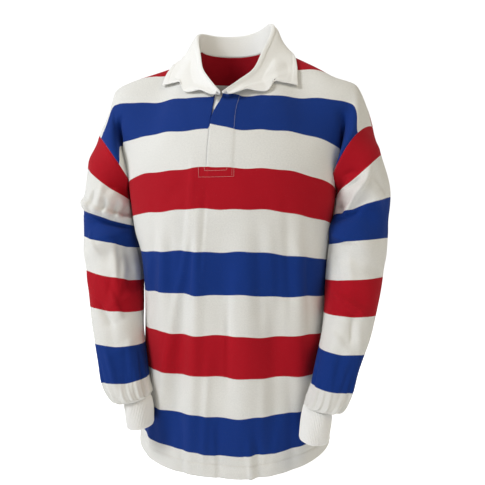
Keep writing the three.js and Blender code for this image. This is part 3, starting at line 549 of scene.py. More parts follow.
@dataclass(frozen=True)
class Grid:
    """A sheet's points in columns and rows, with what its shader reads."""

    outer: Array
    inner: Array
    cloth: Array


def grid_normals(points: Array) -> Array:
    """The directions in which a grid of points faces, from its neighbours."""
    du, dv = np.gradient(points, axis=0), np.gradient(points, axis=1)
    return unit(np.cross(du, dv))


def grid_faces(columns: int, rows: int, start: int = 0) -> Array:
    """The four-sided faces of a grid with the given counts of points."""
    i, j = np.meshgrid(np.arange(columns - 1), np.arange(rows - 1), indexing="ij")
    a = start + i * rows + j
    return np.stack((a, a + rows, a + rows + 1, a + 1), -1).reshape(-1, 4)


def make_mesh(
    name: str, points: Array, faces: Sequence[Sequence[int]], material: bpy.types.Material
) -> bpy.types.Object:
    """Makes a smooth-shaded mesh object from points in millimetres.

    Args:
        name: The piece's name.
        points: Corners, in millimetres.
        faces: Corner numbers of each face.
        material: The piece's finish.

    Returns:
        The new object, linked to the scene.
    """
    mesh = bpy.data.meshes.new(name)
    mesh.from_pydata((points * MM).tolist(), [], [list(map(int, f)) for f in faces])
    mesh.validate()
    mesh.shade_smooth()
    mesh.materials.append(material)
    made = bpy.data.objects.new(name, mesh)
    bpy.context.scene.collection.objects.link(made)
    return made


def add_vector(made: bpy.types.Object, name: str, values: Array) -> None:
    """Keeps a vector at every corner of a mesh for its shader."""
    layer = made.data.attributes.new(name, "FLOAT_VECTOR", "POINT")
    layer.data.foreach_set("vector", np.asarray(values, np.float32).ravel())


def shell(
    name: str, grid: Grid, material: bpy.types.Material, flip: bool = False, faces: Optional[Array] = None
) -> bpy.types.Object:
    """Makes a closed wall of cloth with rounded edges.

    Args:
        name: The piece's name.
        grid: Its points: the side that shows, the other side, and their places in the flat cloth, in metres.
        material: The piece's finish.
        flip: Whether the faces' order is turned to face out.
        faces: Four-sided faces of the outer side, where the points aren't in plain columns and rows.

    Returns:
        The new object.
    """
    faces = grid_faces(*grid.outer.shape[:2]) if faces is None else faces
    faces = faces[:, ::-1] if flip else faces
    outer, inner, cloth = (part.reshape(-1, 3) for part in (grid.outer, grid.inner, grid.cloth))
    count = len(outer)
    pairs = np.concatenate([faces[:, [k, (k + 1) % 4]] for k in range(4)])
    keys = {(int(a), int(b)) for a, b in pairs if a != b}
    edges = sorted((a, b) for a, b in keys if (b, a) not in keys)
    around = sorted({a for edge in edges for a in edge})
    number = {a: 2 * count + k for k, a in enumerate(around)}
    away = {a: np.zeros(3) for a in around}
    for a, b in edges:
        way = np.cross(outer[b] - outer[a], outer[a] - inner[a])
        away[a] += way
        away[b] += way
    thick = np.linalg.norm(outer[around] - inner[around], axis=1, keepdims=True)
    rim = (outer[around] + inner[around]) / 2 + unit(np.array([away[a] for a in around])) * thick * RIM_ROUND
    quads = [tuple(f) for f in faces] + [tuple(count + f[::-1]) for f in faces]
    for a, b in edges:
        quads.append((b, a, number[a], number[b]))
        quads.append((number[b], number[a], count + a, count + b))
    points = np.concatenate((outer, inner, rim))
    made = make_mesh(name, points, quads, material)
    add_vector(made, "cloth", np.concatenate((cloth, cloth, cloth[around])))
    return made


@dataclass(frozen=True)
class Cloth:
    """What a piece says of its cloth: the solid it stands for, its finish, its flat size and its hold."""

    solid: str
    finish: str
    flat: tuple[float, float]
    held: Held = Held.HUNG

    def dress(self, made: bpy.types.Object) -> bpy.types.Object:
        """Rides the piece on the root and hides the solid that it stands for.

        Args:
            made: The piece.

        Returns:
            The same piece.
        """
        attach(made, "root")
        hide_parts(self.solid)
        return made


def stitch_row(path: Array, normals: Array, long: float, gap: float, thick: float) -> tuple[Array, list]:
    """Sews a row of stitches along a line on the cloth.

    Args:
        path: Points along the line.
        normals: The way out of the cloth at each point.
        long: Length of a stitch.
        gap: Cloth between two stitches.
        thick: Width of the thread.

    Returns:
        The stitches' corners and four-sided faces.
    """
    steps = np.linalg.norm(np.diff(path, axis=0), axis=1)
    run = np.concatenate(([0.0], np.cumsum(steps)))
    starts = np.arange(gap / 2, run[-1] - long, long + gap)
    places = starts[:, None] + STITCH_PLACES * long
    at = np.stack([np.interp(places, run, path[:, k]) for k in range(3)], -1)
    up = unit(np.stack([np.interp(places, run, normals[:, k]) for k in range(3)], -1))
    way = unit(at[:, -1] - at[:, 0])[:, None, :]
    across = unit(np.cross(up, np.broadcast_to(way, up.shape)))
    sides, rings = STITCH_SIDES, len(STITCH_PLACES)
    turn = np.arange(sides) * (2 * math.pi / sides)
    radius = (thick / 2) * STITCH_SWELL[None, :, None, None]
    ring = across[:, :, None, :] * np.cos(turn)[:, None] + up[:, :, None, :] * np.sin(turn)[:, None]
    lift = (STITCH_SWELL * 0.5 - 0.3)[None, :, None, None] * thick * up[:, :, None, :]
    points = at[:, :, None, :] + ring * radius + lift
    faces = []
    for s in range(len(starts)):
        base = s * rings * sides
        for r in range(rings - 1):
            for k in range(sides):
                a, b = base + r * sides + k, base + r * sides + (k + 1) % sides
                faces.append((a, b, b + sides, a + sides))
        faces.append(tuple(base + k for k in range(sides))[::-1])
        faces.append(tuple(base + (rings - 1) * sides + k for k in range(sides)))
    return points.reshape(-1, 3), faces


class Stitching:
    """Rows of stitches that are gathered into one piece."""

    def __init__(self, name: str) -> None:
        """Starts an empty piece."""
        self.name, self.points, self.faces, self.count = name, [], [], 0

    def sew(
        self, path: Array, normals: Array, long: float = 2.5, gap: float = 0.7, thick: float = 0.55
    ) -> None:
        """Adds one row along a line.

        Args:
            path: Points along the line.
            normals: The way out of the cloth at each point.
            long: Length of a stitch.
            gap: Cloth between two stitches.
            thick: Width of the thread.
        """
        points, faces = stitch_row(path, normals, long, gap, thick)
        self.faces += [tuple(self.count + c for c in f) for f in faces]
        self.points.append(points)
        self.count += len(points)

    def make(self, material: bpy.types.Material) -> bpy.types.Object:
        """Makes the piece."""
        made = make_mesh(self.name, np.concatenate(self.points), self.faces, material)
        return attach(made, "root")


# Finishes


def linear(red: int, green: int, blue: int) -> tuple[float, float, float, float]:
    """A colour from its screen values, 0 to 255.

    Args:
        red: The red value.
        green: The green value.
        blue: The blue value.

    Returns:
        The colour in a shader's own values, opaque.
    """
    def one(value: int) -> float:
        """One channel."""
        v = value / 255
        return v / 12.92 if v <= 0.04045 else ((v + 0.055) / 1.055) ** 2.4
    return (one(red), one(green), one(blue), 1.0)


class Nodes:
    """A short way to add and join shader nodes in one tree."""

    def __init__(self, tree: bpy.types.NodeTree) -> None:
        """Keeps the tree."""
        self.tree = tree

    def add(self, kind: str, **settings: object) -> bpy.types.Node:
        """Adds a node and sets its properties.

        Args:
            kind: The node's type.
            settings: Its properties, by name.

        Returns:
            The node.
        """
        node = self.tree.nodes.new(kind)
        for name, value in settings.items():
            setattr(node, name, value)
        return node

    def join(self, source: object, target: object) -> None:
        """Joins two sockets."""
        self.tree.links.new(source, target)

    def feed(self, socket: bpy.types.NodeSocket, value: object) -> None:
        """Joins a socket to another one, or sets its value.

        Args:
            socket: The input.
            value: An output, a plain value, or nothing.
        """
        if isinstance(value, bpy.types.NodeSocket):
            self.join(value, socket)
        elif value is not None:
            socket.default_value = value

    def math(self, operation: str, a: object, b: object = None, clamp: bool = False) -> bpy.types.NodeSocket:
        """A sum on numbers, and its result.

        Args:
            operation: The kind of sum.
            a: The first number.
            b: The second one, if any.
            clamp: Whether the result is kept from 0 to 1.

        Returns:
            The result.
        """
        node = self.add("ShaderNodeMath", operation=operation, use_clamp=clamp)
        self.feed(node.inputs[0], a)
        self.feed(node.inputs[1], b)
        return node.outputs[0]

    def blend(self, share: object, a: object, b: object) -> bpy.types.NodeSocket:
        """A colour between a and b.

        Args:
            share: How much of b shows.
            a: The first colour.
            b: The second colour.

        Returns:
            The colour.
        """
        node = self.add("ShaderNodeMix", data_type="RGBA")
        self.feed(node.inputs[0], share)
        self.feed(node.inputs[6], a)
        self.feed(node.inputs[7], b)
        return node.outputs[2]

    def times(self, value: object, by: object) -> bpy.types.NodeSocket:
        """A value multiplied by another one."""
        return self.math("MULTIPLY", value, by)

    def split(self, vector: bpy.types.NodeSocket) -> tuple[bpy.types.NodeSocket, bpy.types.NodeSocket]:
        """The first two parts of a vector."""
        node = self.add("ShaderNodeSeparateXYZ")
        self.join(vector, node.inputs[0])
        return node.outputs[0], node.outputs[1]

    def group(self, tree: bpy.types.NodeTree, **sockets: object) -> bpy.types.Node:
        """Places a node group and feeds its inputs.

        Args:
            tree: The group.
            sockets: What goes into its inputs, by name.

        Returns:
            The placed group.
        """
        node = self.add("ShaderNodeGroup", node_tree=tree)
        for name, value in sockets.items():
            self.feed(node.inputs[name], value)
        return node

    def cloth_place(self) -> bpy.types.NodeSocket:
        """The place in the flat cloth, in metres."""
        return self.add("ShaderNodeAttribute", attribute_name="cloth").outputs["Vector"]

    def relief(
        self, height: bpy.types.NodeSocket, shader: bpy.types.Node, strength: float, deep: float
    ) -> None:
        """Gives a shader a fine relief.

        Args:
            height: The height.
            shader: The shader that gets it.
            strength: Its strength.
            deep: Its depth, in metres.
        """
        bump = self.add("ShaderNodeBump")
        bump.inputs["Strength"].default_value = strength
        bump.inputs["Distance"].default_value = deep
        self.join(height, bump.inputs["Height"])
        self.join(bump.outputs[0], shader.inputs["Normal"])

    def noise(
        self, place: object, scale: float, detail: float = 2.0, rough: float = 0.5
    ) -> bpy.types.NodeSocket:
        """Even noise from 0 to 1.

        Args:
            place: Where it is read.
            scale: How fine it is.
            detail: Its finer layers.
            rough: How much the finer layers count.

        Returns:
            The noise.
        """
        node = self.add("ShaderNodeTexNoise")
        self.feed(node.inputs["Vector"], place)
        node.inputs["Scale"].default_value = scale
        node.inputs["Detail"].default_value = detail
        node.inputs["Roughness"].default_value = rough
        return node.outputs["Fac"]

    def bands(self, value: object, stops: Sequence[tuple[float, tuple]]) -> bpy.types.NodeSocket:
        """Plain bands of colour, each from its own stop.

        Args:
            value: A value from 0 to 1.
            stops: Where each band starts, and its colour.

        Returns:
            The colour.
        """
        node = self.add("ShaderNodeValToRGB")
        node.color_ramp.interpolation = "CONSTANT"
        elements = node.color_ramp.elements
        while len(elements) < len(stops):
            elements.new(0.5)
        for element, (place, colour) in zip(elements, stops):
            element.position, element.color = place, colour
        self.feed(node.inputs[0], value)
        return node.outputs[0]


def open_finish(name: str) -> tuple[bpy.types.Material, Nodes, bpy.types.Node]:
    """Starts a material, and gives its nodes and its principled shader."""
    material = bpy.data.materials.new(name)
    material.use_nodes = True
    return material, Nodes(material.node_tree), material.node_tree.nodes["Principled BSDF"]


def new_group(
    name: str, inputs: Sequence[tuple[str, str, object]], outputs: Sequence[tuple[str, str]]
) -> tuple[Nodes, bpy.types.Node, bpy.types.Node]:
    """Starts a shader node group with named sockets.

    Args:
        name: The group's name.
        inputs: Name, socket kind and first value of each input.
        outputs: Name and socket kind of each output.

    Returns:
        The group's nodes, its input node and its output node.
    """
    tree = bpy.data.node_groups.new(name, "ShaderNodeTree")
    for label, kind, value in inputs:
        socket = tree.interface.new_socket(label, in_out="INPUT", socket_type=kind)
        if value is not None:
            socket.default_value = value
    for label, kind in outputs:
        tree.interface.new_socket(label, in_out="OUTPUT", socket_type=kind)
    nodes = Nodes(tree)
    return nodes, nodes.add("NodeGroupInput"), nodes.add("NodeGroupOutput")


def knit_group() -> bpy.types.NodeTree:
    """Rows of knitted loops: a height for the bump and a mask of painted shade in the loops' hollows.

    Returns:
        The group.
    """
    n, given, result = new_group(
        "knit_loops",
        (
            ("Cloth", "NodeSocketVector", None), ("Wale", "NodeSocketFloat", 0.0014),
            ("Course", "NodeSocketFloat", 0.0012),
        ),
        (("Height", "NodeSocketFloat"), ("Hollow", "NodeSocketFloat")),
    )
    x, y = n.split(given.outputs["Cloth"])
    wale = n.math("DIVIDE", x, given.outputs["Wale"])
    course = n.math("DIVIDE", y, given.outputs["Course"])
    half = n.math("ABSOLUTE", n.math("SUBTRACT", n.math("FRACT", wale), 0.5))
    leg = n.math("SINE", n.times(n.math("ADD", course, n.times(half, 1.3)), 2 * math.pi))
    rib = n.math("COSINE", n.times(wale, 4 * math.pi))
    height = n.math("ADD", n.times(leg, 0.3), n.times(rib, -0.22))
    n.join(n.math("ADD", height, 0.5, clamp=True), result.inputs["Height"])
    # Painted shade: the mask is high where the loops are low, in the hollows between them.
    n.join(n.math("SUBTRACT", 0.5, height, clamp=True), result.inputs["Hollow"])
    return n.tree


def wear_group() -> bpy.types.NodeTree:
    """Uneven dye and pilling over a colour.

    Returns:
        The group.
    """
    n, given, result = new_group(
        "cloth_wear",
        (
            ("Color", "NodeSocketColor", None), ("Place", "NodeSocketVector", None),
            ("Unevenness", "NodeSocketFloat", 0.1), ("Pilling", "NodeSocketFloat", 0.1),
        ),
        (("Color", "NodeSocketColor"), ("Roughness", "NodeSocketFloat")),
    )
    place, uneven = given.outputs["Place"], given.outputs["Unevenness"]
    broad = n.noise(place, 9.0, 3.0)
    fine = n.noise(place, 420.0, 2.0, 0.6)
    pill = n.math("GREATER_THAN", n.noise(place, 700.0, 1.0), 0.72)
    dark = n.times(n.math("SUBTRACT", broad, 0.5), uneven)
    speck = n.times(n.math("SUBTRACT", fine, 0.5), n.times(uneven, 1.6))
    shade = n.add("ShaderNodeHueSaturation")
    n.join(n.math("ADD", 1.0, n.math("ADD", dark, speck)), shade.inputs["Value"])
    n.join(given.outputs["Color"], shade.inputs["Color"])
    paler = n.blend(n.times(pill, given.outputs["Pilling"]), shade.outputs[0], (0.8, 0.8, 0.78, 1.0))
    n.join(paler, result.inputs["Color"])
    n.join(n.math("ADD", 0.82, n.times(fine, 0.14)), result.inputs["Roughness"])
    return n.tree


@dataclass(frozen=True)
class ClothColours:
    """The dyes of the shirt."""

    blue: tuple = linear(10, 50, 126)
    red: tuple = linear(174, 6, 26)
    white: tuple = linear(230, 229, 224)


@dataclass(frozen=True)
class HoopedJersey:
    """Heavy cotton jersey with hoops of blue, white, red and white, each 70 mm deep."""

    colours: ClothColours = ClothColours()
    repeat: float = 0.28
    ragged: float = 0.0009
    # Painted shade: the near-black that the hollows between the loops are darkened towards, and by how much.
    hollow: tuple = (0.0, 0.0, 0.01, 1.0)
    hollow_shade_share: float = 0.22
    unevenness: float = 0.16
    pilling: float = 0.05
    sheen: float = 0.02
    sheen_spread: float = 0.5
    shine: float = 0.2
    bump: float = 0.35
    loop_depth: float = 0.0004

    def material(self, knit: bpy.types.NodeTree, wear: bpy.types.NodeTree) -> bpy.types.Material:
        """Makes the finish.

        Args:
            knit: The group of knitted loops.
            wear: The group of cloth wear.

        Returns:
            The finish.
        """
        material, n, shader = open_finish("hooped_jersey")
        cloth, c = n.cloth_place(), self.colours
        loops = n.group(knit, Cloth=cloth)
        edge = n.times(n.math("SUBTRACT", loops.outputs["Height"], 0.5), self.ragged)
        share = n.math("FRACT", n.math("DIVIDE", n.math("ADD", n.split(cloth)[1], edge), self.repeat))
        hoops = n.bands(share, ((0.0, c.blue), (0.25, c.white), (0.5, c.red), (0.75, c.white)))
        worn = n.group(wear, Color=hoops, Place=cloth, Unevenness=self.unevenness, Pilling=self.pilling)
        # Painted shade: deep darkens the dyed colour in the hollows between the loops.
        deep = n.times(loops.outputs["Hollow"], self.hollow_shade_share)
        n.join(n.blend(deep, worn.outputs["Color"], self.hollow), shader.inputs["Base Color"])
        n.join(worn.outputs["Roughness"], shader.inputs["Roughness"])
        n.relief(loops.outputs["Height"], shader, self.bump, self.loop_depth)
        shader.inputs["Sheen Weight"].default_value = self.sheen
        shader.inputs["Sheen Roughness"].default_value = self.sheen_spread
        shader.inputs["Specular IOR Level"].default_value = self.shine
        return material


@dataclass(frozen=True)
class WhiteDrill:
    """White cotton drill with a steep diagonal rib, for the collar and the neck strip."""

    colour: tuple = linear(234, 233, 229)
    rib: float = 0.0011
    slant: float = 0.6
    # Painted shade: the grey that the low lines of the twill are darkened towards.
    groove_shade: tuple = (0.55, 0.54, 0.5, 1.0)
    unevenness: float = 0.06
    sheen: float = 0.15
    shine: float = 0.25
    bump: float = 0.35
    rib_depth: float = 0.0003

    def material(self, wear: bpy.types.NodeTree) -> bpy.types.Material:
        """Makes the finish.

        Args:
            wear: The group of cloth wear.

        Returns:
            The finish.
        """
        material, n, shader = open_finish("white_drill")
        cloth = n.cloth_place()
        x, y = n.split(cloth)
        twill = n.math("SINE", n.times(n.math("ADD", x, n.times(y, self.slant)), 2 * math.pi / self.rib))
        weft = n.math("SINE", n.times(y, 2 * math.pi / (self.rib * 0.5)))
        height = n.math("ADD", n.times(twill, 0.35), n.times(weft, 0.12))
        worn = n.group(wear, Color=self.colour, Place=cloth, Unevenness=self.unevenness, Pilling=0.0)
        # Painted shade: a little darker where the twill is low.
        groove_shade = n.times(n.math("SUBTRACT", 0.3, height, clamp=True), 0.1)
        n.join(n.blend(groove_shade, worn.outputs["Color"], self.groove_shade), shader.inputs["Base Color"])
        n.join(worn.outputs["Roughness"], shader.inputs["Roughness"])
        slub = n.times(n.noise(cloth, 160.0, 3.0), 0.8)
        n.relief(n.math("ADD", height, slub), shader, self.bump, self.rib_depth)
        shader.inputs["Sheen Weight"].default_value = self.sheen
        shader.inputs["Specular IOR Level"].default_value = self.shine
        return material


@dataclass(frozen=True)
class RibbedCuffKnit:
    """White cotton rib for the cuffs."""

    colour: tuple = linear(236, 235, 232)
    wale: float = 0.0013
    # Painted shade: the grey that the hollows between the rib's loops are darkened towards, and by how much.
    hollow: tuple = (0.5, 0.49, 0.46, 1.0)
    hollow_shade_share: float = 0.16
    unevenness: float = 0.07
    sheen: float = 0.2
    shine: float = 0.2
    bump: float = 0.4
    loop_depth: float = 0.0004

    def material(self, knit: bpy.types.NodeTree, wear: bpy.types.NodeTree) -> bpy.types.Material:
        """Makes the finish.

        Args:
            knit: The group of knitted loops.
            wear: The group of cloth wear.

        Returns:
            The finish.
        """
        material, n, shader = open_finish("white_cuff_knit")
        cloth = n.cloth_place()
        loops = n.group(knit, Cloth=cloth, Wale=self.wale)
        worn = n.group(wear, Color=self.colour, Place=cloth, Unevenness=self.unevenness, Pilling=0.0)
        # Painted shade: deep darkens the cuff's colour in the hollows between the loops.
        deep = n.times(loops.outputs["Hollow"], self.hollow_shade_share)
        n.join(n.blend(deep, worn.outputs["Color"], self.hollow), shader.inputs["Base Color"])
        n.join(worn.outputs["Roughness"], shader.inputs["Roughness"])
        n.relief(loops.outputs["Height"], shader, self.bump, self.loop_depth)
        shader.inputs["Sheen Weight"].default_value = self.sheen
        shader.inputs["Specular IOR Level"].default_value = self.shine
        return material


@dataclass(frozen=True)
class SewingThread:
    """White sewing thread with a fine twist."""

    colour: tuple = linear(226, 222, 214)
    shaded: tuple = linear(196, 190, 180)

    def material(self) -> bpy.types.Material:
        """Makes the finish.

        Returns:
            The finish.
        """
        material, n, shader = open_finish("sewing_thread")
        twist = n.noise(n.add("ShaderNodeTexCoord").outputs["Object"], 2600.0, 1.0)
        n.join(n.blend(twist, self.colour, self.shaded), shader.inputs["Base Color"])
        n.join(n.math("ADD", 0.55, n.times(twist, 0.2)), shader.inputs["Roughness"])
        return material


@dataclass(frozen=True)
class Finishes:
    """The finishes that the pieces share."""

    jersey: bpy.types.Material
    drill: bpy.types.Material
    cuff: bpy.types.Material
    thread: bpy.types.Material

    @staticmethod
    def build() -> "Finishes":
        """Makes the node groups and every finish once.

        Returns:
            The finishes.
        """
        knit, wear = knit_group(), wear_group()
        return Finishes(
            HoopedJersey().material(knit, wear), WhiteDrill().material(wear),
            RibbedCuffKnit().material(knit, wear), SewingThread().material(),
        )


# Pieces


def crowd(start: float, end: float, count: int, near_start: bool, near_end: bool) -> Array:
    """Places from start to end that stand closer together at the chosen ends.

    Args:
        start: The first place.
        end: The last place.
        count: How many there are.
        near_start: Whether they crowd at the start.
        near_end: Whether they crowd at the end.

    Returns:
        The places.
    """
    t = np.linspace(0, 1, count)
    if near_start and near_end:
        t = mix(t, t * t * (3 - 2 * t), 0.55)
    elif near_end:
        t = mix(t, 1 - (1 - t) ** 2, 0.5)
    elif near_start:
        t = mix(t, t * t, 0.5)
    return mix(start, end, t)


def hoop_scale(torso: Torso, face: Face, across: Array, rows: Array) -> Array:
    """Where each place of a panel lies on the hoop scale.

    Args:
        torso: The form of the panels.
        face: The panel.
        across: The places across, in columns and rows.
        rows: The matching rows.

    Returns:
        The distance down the cloth from the first blue hoop's top edge, in millimetres.
    """
    fine = np.linspace(1, 2, 60)
    columns = across[:, -1]
    line = torso.plain(face, columns[:, None] + 0 * fine, fine + 0 * columns[:, None])
    steps = np.linalg.norm(np.diff(line, axis=1), axis=2)
    run = np.concatenate((np.zeros((len(columns), 1)), np.cumsum(steps, axis=1)), axis=1)
    climbed = np.stack([np.interp(rows[k], fine, run[k]) for k in range(len(columns))])
    return np.where(rows <= 1, row_hoop(rows), UNDERARM_HOOP - climbed)


@dataclass(frozen=True)
class FrontSlit:
    """The neck slit: where it stands, how far it opens towards the neck, and the placket over it."""

    column: float = -0.052
    bottom_hoop: float = 136.0
    gap: float = 0.003
    gape: float = 0.05
    gape_hoop: float = 72.0
    reach: float = 0.29
    placket_edge: float = 0.09
    placket_foot: tuple[float, float] = (157.0, 152.0)
    roll: float = 0.7
    roll_width: float = 0.02
    # The placket's hoops stand higher than the right part's, by this much over these hoop places.
    offset: float = 6.0
    offset_hoops: tuple[float, float] = (134.0, 96.0)
    offset_width: float = 0.2

    def opening(self, row: Array) -> Array:
        """How far the left edge stands from the right edge."""
        return self.gap + self.gape * smooth(row, hoop_row(self.gape_hoop), 2) ** 1.5

    def moved(self, across: Array, row: Array) -> Array:
        """Places of the left part, moved aside where the slit gapes."""
        return across + self.opening(row) * np.clip(1 - (across - self.column) / self.reach, 0, 1)


# The small waviness of the front's hoops: rise, length across and down, and start.
HOOP_WANDER = ((1.1, 21.0, 55.0, 0.0), (0.7, 8.5, -90.0, 1.0))


@dataclass(frozen=True)
class Panel:
    """The front or the back: hooped jersey from the hem to the shoulder line."""

    torso: Torso
    face: Face
    arms: dict[Side, "Arm"]
    slit: FrontSlit = FrontSlit()
    columns_half: int = 64
    lower_rows: int = 126
    upper_rows: int = 48
    half_width: float = 250.0
    upper_length: float = 190.0
    seam_width: float = 5.0
    neck_blend: float = 0.03
    hem_rise: float = 1.0
    hem_thick: float = 1.4
    hem_valley: tuple[float, float] = (0.9, 2.6)
    flat_half: float = 0.27
    sag_column: float = 0.78
    sag_most: float = 1.3

    def rows(self) -> Array:
        """Row places from the hem to the top edge."""
        lower = crowd(0, 1, self.lower_rows, True, False)
        return np.concatenate((lower, crowd(1, 2, self.upper_rows, False, True)[1:]))

    def seam_dip(self, across: Array, row: Array) -> Array:
        """The cloth rolls in towards every seam.

        Args:
            across: Places across, from -1 to 1.
            row: Rows, from 0 to 2.

        Returns:
            The lift at each place, below 0.
        """
        column = np.abs(across)
        side = np.exp(-(((1 - column) * self.half_width / self.seam_width) ** 2))
        shoulder = smooth(column, NECK_SHARE - self.neck_blend, NECK_SHARE + self.neck_blend)
        top = np.exp(-(((2 - row) * self.upper_length / self.seam_width) ** 2)) * shoulder
        return -SEAM_DIP * np.maximum(side, top)

    @staticmethod
    def hem_share(row: Array) -> Array:
        """Where the folded hem begins: 0 above its stitches, 1 below them."""
        return smooth(row_hoop(row) - HEM_STITCH, *HEM_STEP)

    def hem_lift(self, row: Array) -> Array:
        """The folded hem stands proud of the cloth above it, with a small valley at its stitches."""
        deep, wide = self.hem_valley
        valley = deep * np.exp(-(((row_hoop(row) - HEM_STITCH) / wide) ** 2))
        return self.hem_rise * self.hem_share(row) - valley

    def points(self, across: Array, row: Array, lift: Array = 0.0) -> tuple[Array, Array]:
        """Outer and inner points of the panel, with seams, hem and folds.

        Args:
            across: Places across, from -1 to 1.
            row: Rows, from 0 to 2.
            lift: How far the cloth is moved out.

        Returns:
            The outer and the inner points.
        """
        t = self.torso
        normal = t.normal(self.face, across, row)
        outer = t.point(self.face, across, row, self.hem_lift(row) + self.seam_dip(across, row) + lift)
        other = Face.BACK if self.face is Face.FRONT else Face.FRONT
        column = np.abs(across)
        joined = ((column >= 1) & (row <= 1)) | ((row >= 2) & (column > NECK_SHARE))
        normal = np.where(col(joined), unit(normal + t.normal(other, across, row)), normal)
        for side, arm in self.arms.items():
            at = (across * side.value >= 1) & (row >= 1)
            if at.any():
                climbed = (row[at] - 1) * 180
                normal[at] = arm.seam_normal(climbed - 90 if self.face is Face.FRONT else 270 - climbed)
        thick = CLOTH + self.hem_thick * self.hem_share(row)
        return outer, outer - normal * col(thick)

    def hoops(self, across: Array, row: Array, outer: Array) -> Array:
        """How far down the cloth each place lies for the dye, with the sag and waviness of the hoops.

        Args:
            across: Places across, from -1 to 1.
            row: Rows, from 0 to 2.
            outer: The outer points.

        Returns:
            The distance down the dyed cloth, in millimetres.
        """
        hoop = hoop_scale(self.torso, self.face, across, row)
        if self.face is Face.BACK:
            return hoop + BACK_HOOP_RISE
        slit = self.slit
        near = 1 - smooth(across - slit.column, 0.0, slit.offset_width)
        over = smooth(row, *(hoop_row(h) for h in slit.offset_hoops))
        hoop = hoop + slit.offset * near * (across > slit.column - 1e-6) * over
        off = outer[..., 0] - NECK_CENTRE[self.face][0]
        hoop = hoop + sum(
            rise * np.sin(off / wide + hoop / long + start) for rise, wide, long, start in HOOP_WANDER
        )
        sag = np.where(across < 0, HOOP_SAG["right"](hoop), HOOP_SAG["left"](hoop))
        return hoop - sag * np.minimum((across / self.sag_column) ** 2, self.sag_most)

    def grid(self, across: Array, row: Array, lift: Array) -> Grid:
        """The panel's points and its place in the flat cloth."""
        outer, inner = self.points(across, row, lift)
        hoop = self.hoops(across, row, outer)
        return Grid(outer, inner, stack(across * self.flat_half, hoop * MM, 0 * hoop))

    def build(self, finishes: Finishes) -> bpy.types.Object:
        """Makes the panel and hides the solid that it stands for.

        Args:
            finishes: The finishes that the pieces share.

        Returns:
            The panel.
        """
        front = self.face is Face.FRONT
        faces, *grids = self.front_parts(self.rows()) if front else self.back_part(self.rows())
        parts = zip(*((g.outer, g.inner, g.cloth) for g in grids))
        grid = Grid(*(np.concatenate([a.reshape(-1, 3) for a in part]) for part in parts))
        made = shell(f"{self.face.value}_panel", grid, finishes.jersey, not front, faces)
        return Cloth(self.face.value, "hooped_jersey", (0.64, 0.86)).dress(made)

    def back_part(self, rows: Array) -> tuple[Array, Grid]:
        """The back's faces and its one part."""
        left = crowd(0, 1, self.columns_half, False, True)
        across, row = np.meshgrid(np.concatenate((-left[:0:-1], left)), rows, indexing="ij")
        return grid_faces(*across.shape), self.grid(across, row, 0 * row)

    def front_parts(self, rows: Array) -> tuple[Array, Grid, Grid]:
        """The front's faces and its two parts, which are one cloth below the slit.

        Args:
            rows: The rows' places.

        Returns:
            The faces, the right part and the left part.
        """
        slit, bottom = self.slit, hoop_row(self.slit.bottom_hoop)
        right = crowd(-1, slit.column, self.columns_half - 4, True, True)
        left = crowd(slit.column, 1, self.columns_half + 6, True, True)
        a_right, r_right = np.meshgrid(right, rows, indexing="ij")
        a_left, r_left = np.meshgrid(left, rows, indexing="ij")
        above = r_left > bottom
        moved = np.where(above, slit.moved(a_left, r_left), a_left)
        low, high = (hoop_row(h) for h in slit.placket_foot)
        ply = smooth(slit.placket_edge - a_left, 0, 0.012) * smooth(r_left, low, high)
        roll = slit.roll * np.exp(-(((a_left - slit.column) / slit.roll_width) ** 2))
        first = self.grid(a_right, r_right, 0 * r_right)
        second = self.grid(moved, r_left, 1.0 * ply + np.where(above, roll, 0.0))
        count = a_right.size
        faces = np.concatenate((grid_faces(*a_right.shape), grid_faces(*a_left.shape, start=count)))
        # Below the slit the first column of the left part is the last column of the right part.
        corner = np.arange(count + a_left.size)
        below = np.flatnonzero(rows <= bottom)
        corner[count + below] = count - len(rows) + below
        return corner[faces], first, second


@dataclass(frozen=True)
class Underlap:
    """The white strip behind the slit."""

    torso: Torso
    right: float = -0.105
    left: float = 0.03
    bottom_hoop: float = 146.0
    top: float = 0.004
    behind: float = 2.9
    thick: float = 1.6
    counts: tuple[int, int] = (22, 64)
    flat_half: float = 0.27

    def build(self, finishes: Finishes) -> bpy.types.Object:
        """Makes the strip from the front's points, moved in, and hides the solid that it stands for.

        Args:
            finishes: The finishes that the pieces share.

        Returns:
            The strip.
        """
        columns = np.linspace(self.right, self.left, self.counts[0])
        rows = np.linspace(hoop_row(self.bottom_hoop), 2 - self.top, self.counts[1])
        across, row = np.meshgrid(columns, rows, indexing="ij")
        ripple = 0.5 * np.sin(row * 40 + across * 30) * smooth(row, 1.2, 1.8)
        outer = self.torso.point(Face.FRONT, across, row, ripple - self.behind)
        inner = self.torso.point(Face.FRONT, across, row, ripple - self.behind - self.thick)
        cloth = stack(across * self.flat_half, row_hoop(row) * MM, 0 * row)
        made = shell("neck_strip", Grid(outer, inner, cloth), finishes.drill)
        return Cloth("underlap", "white_drill", (0.04, 0.155)).dress(made)


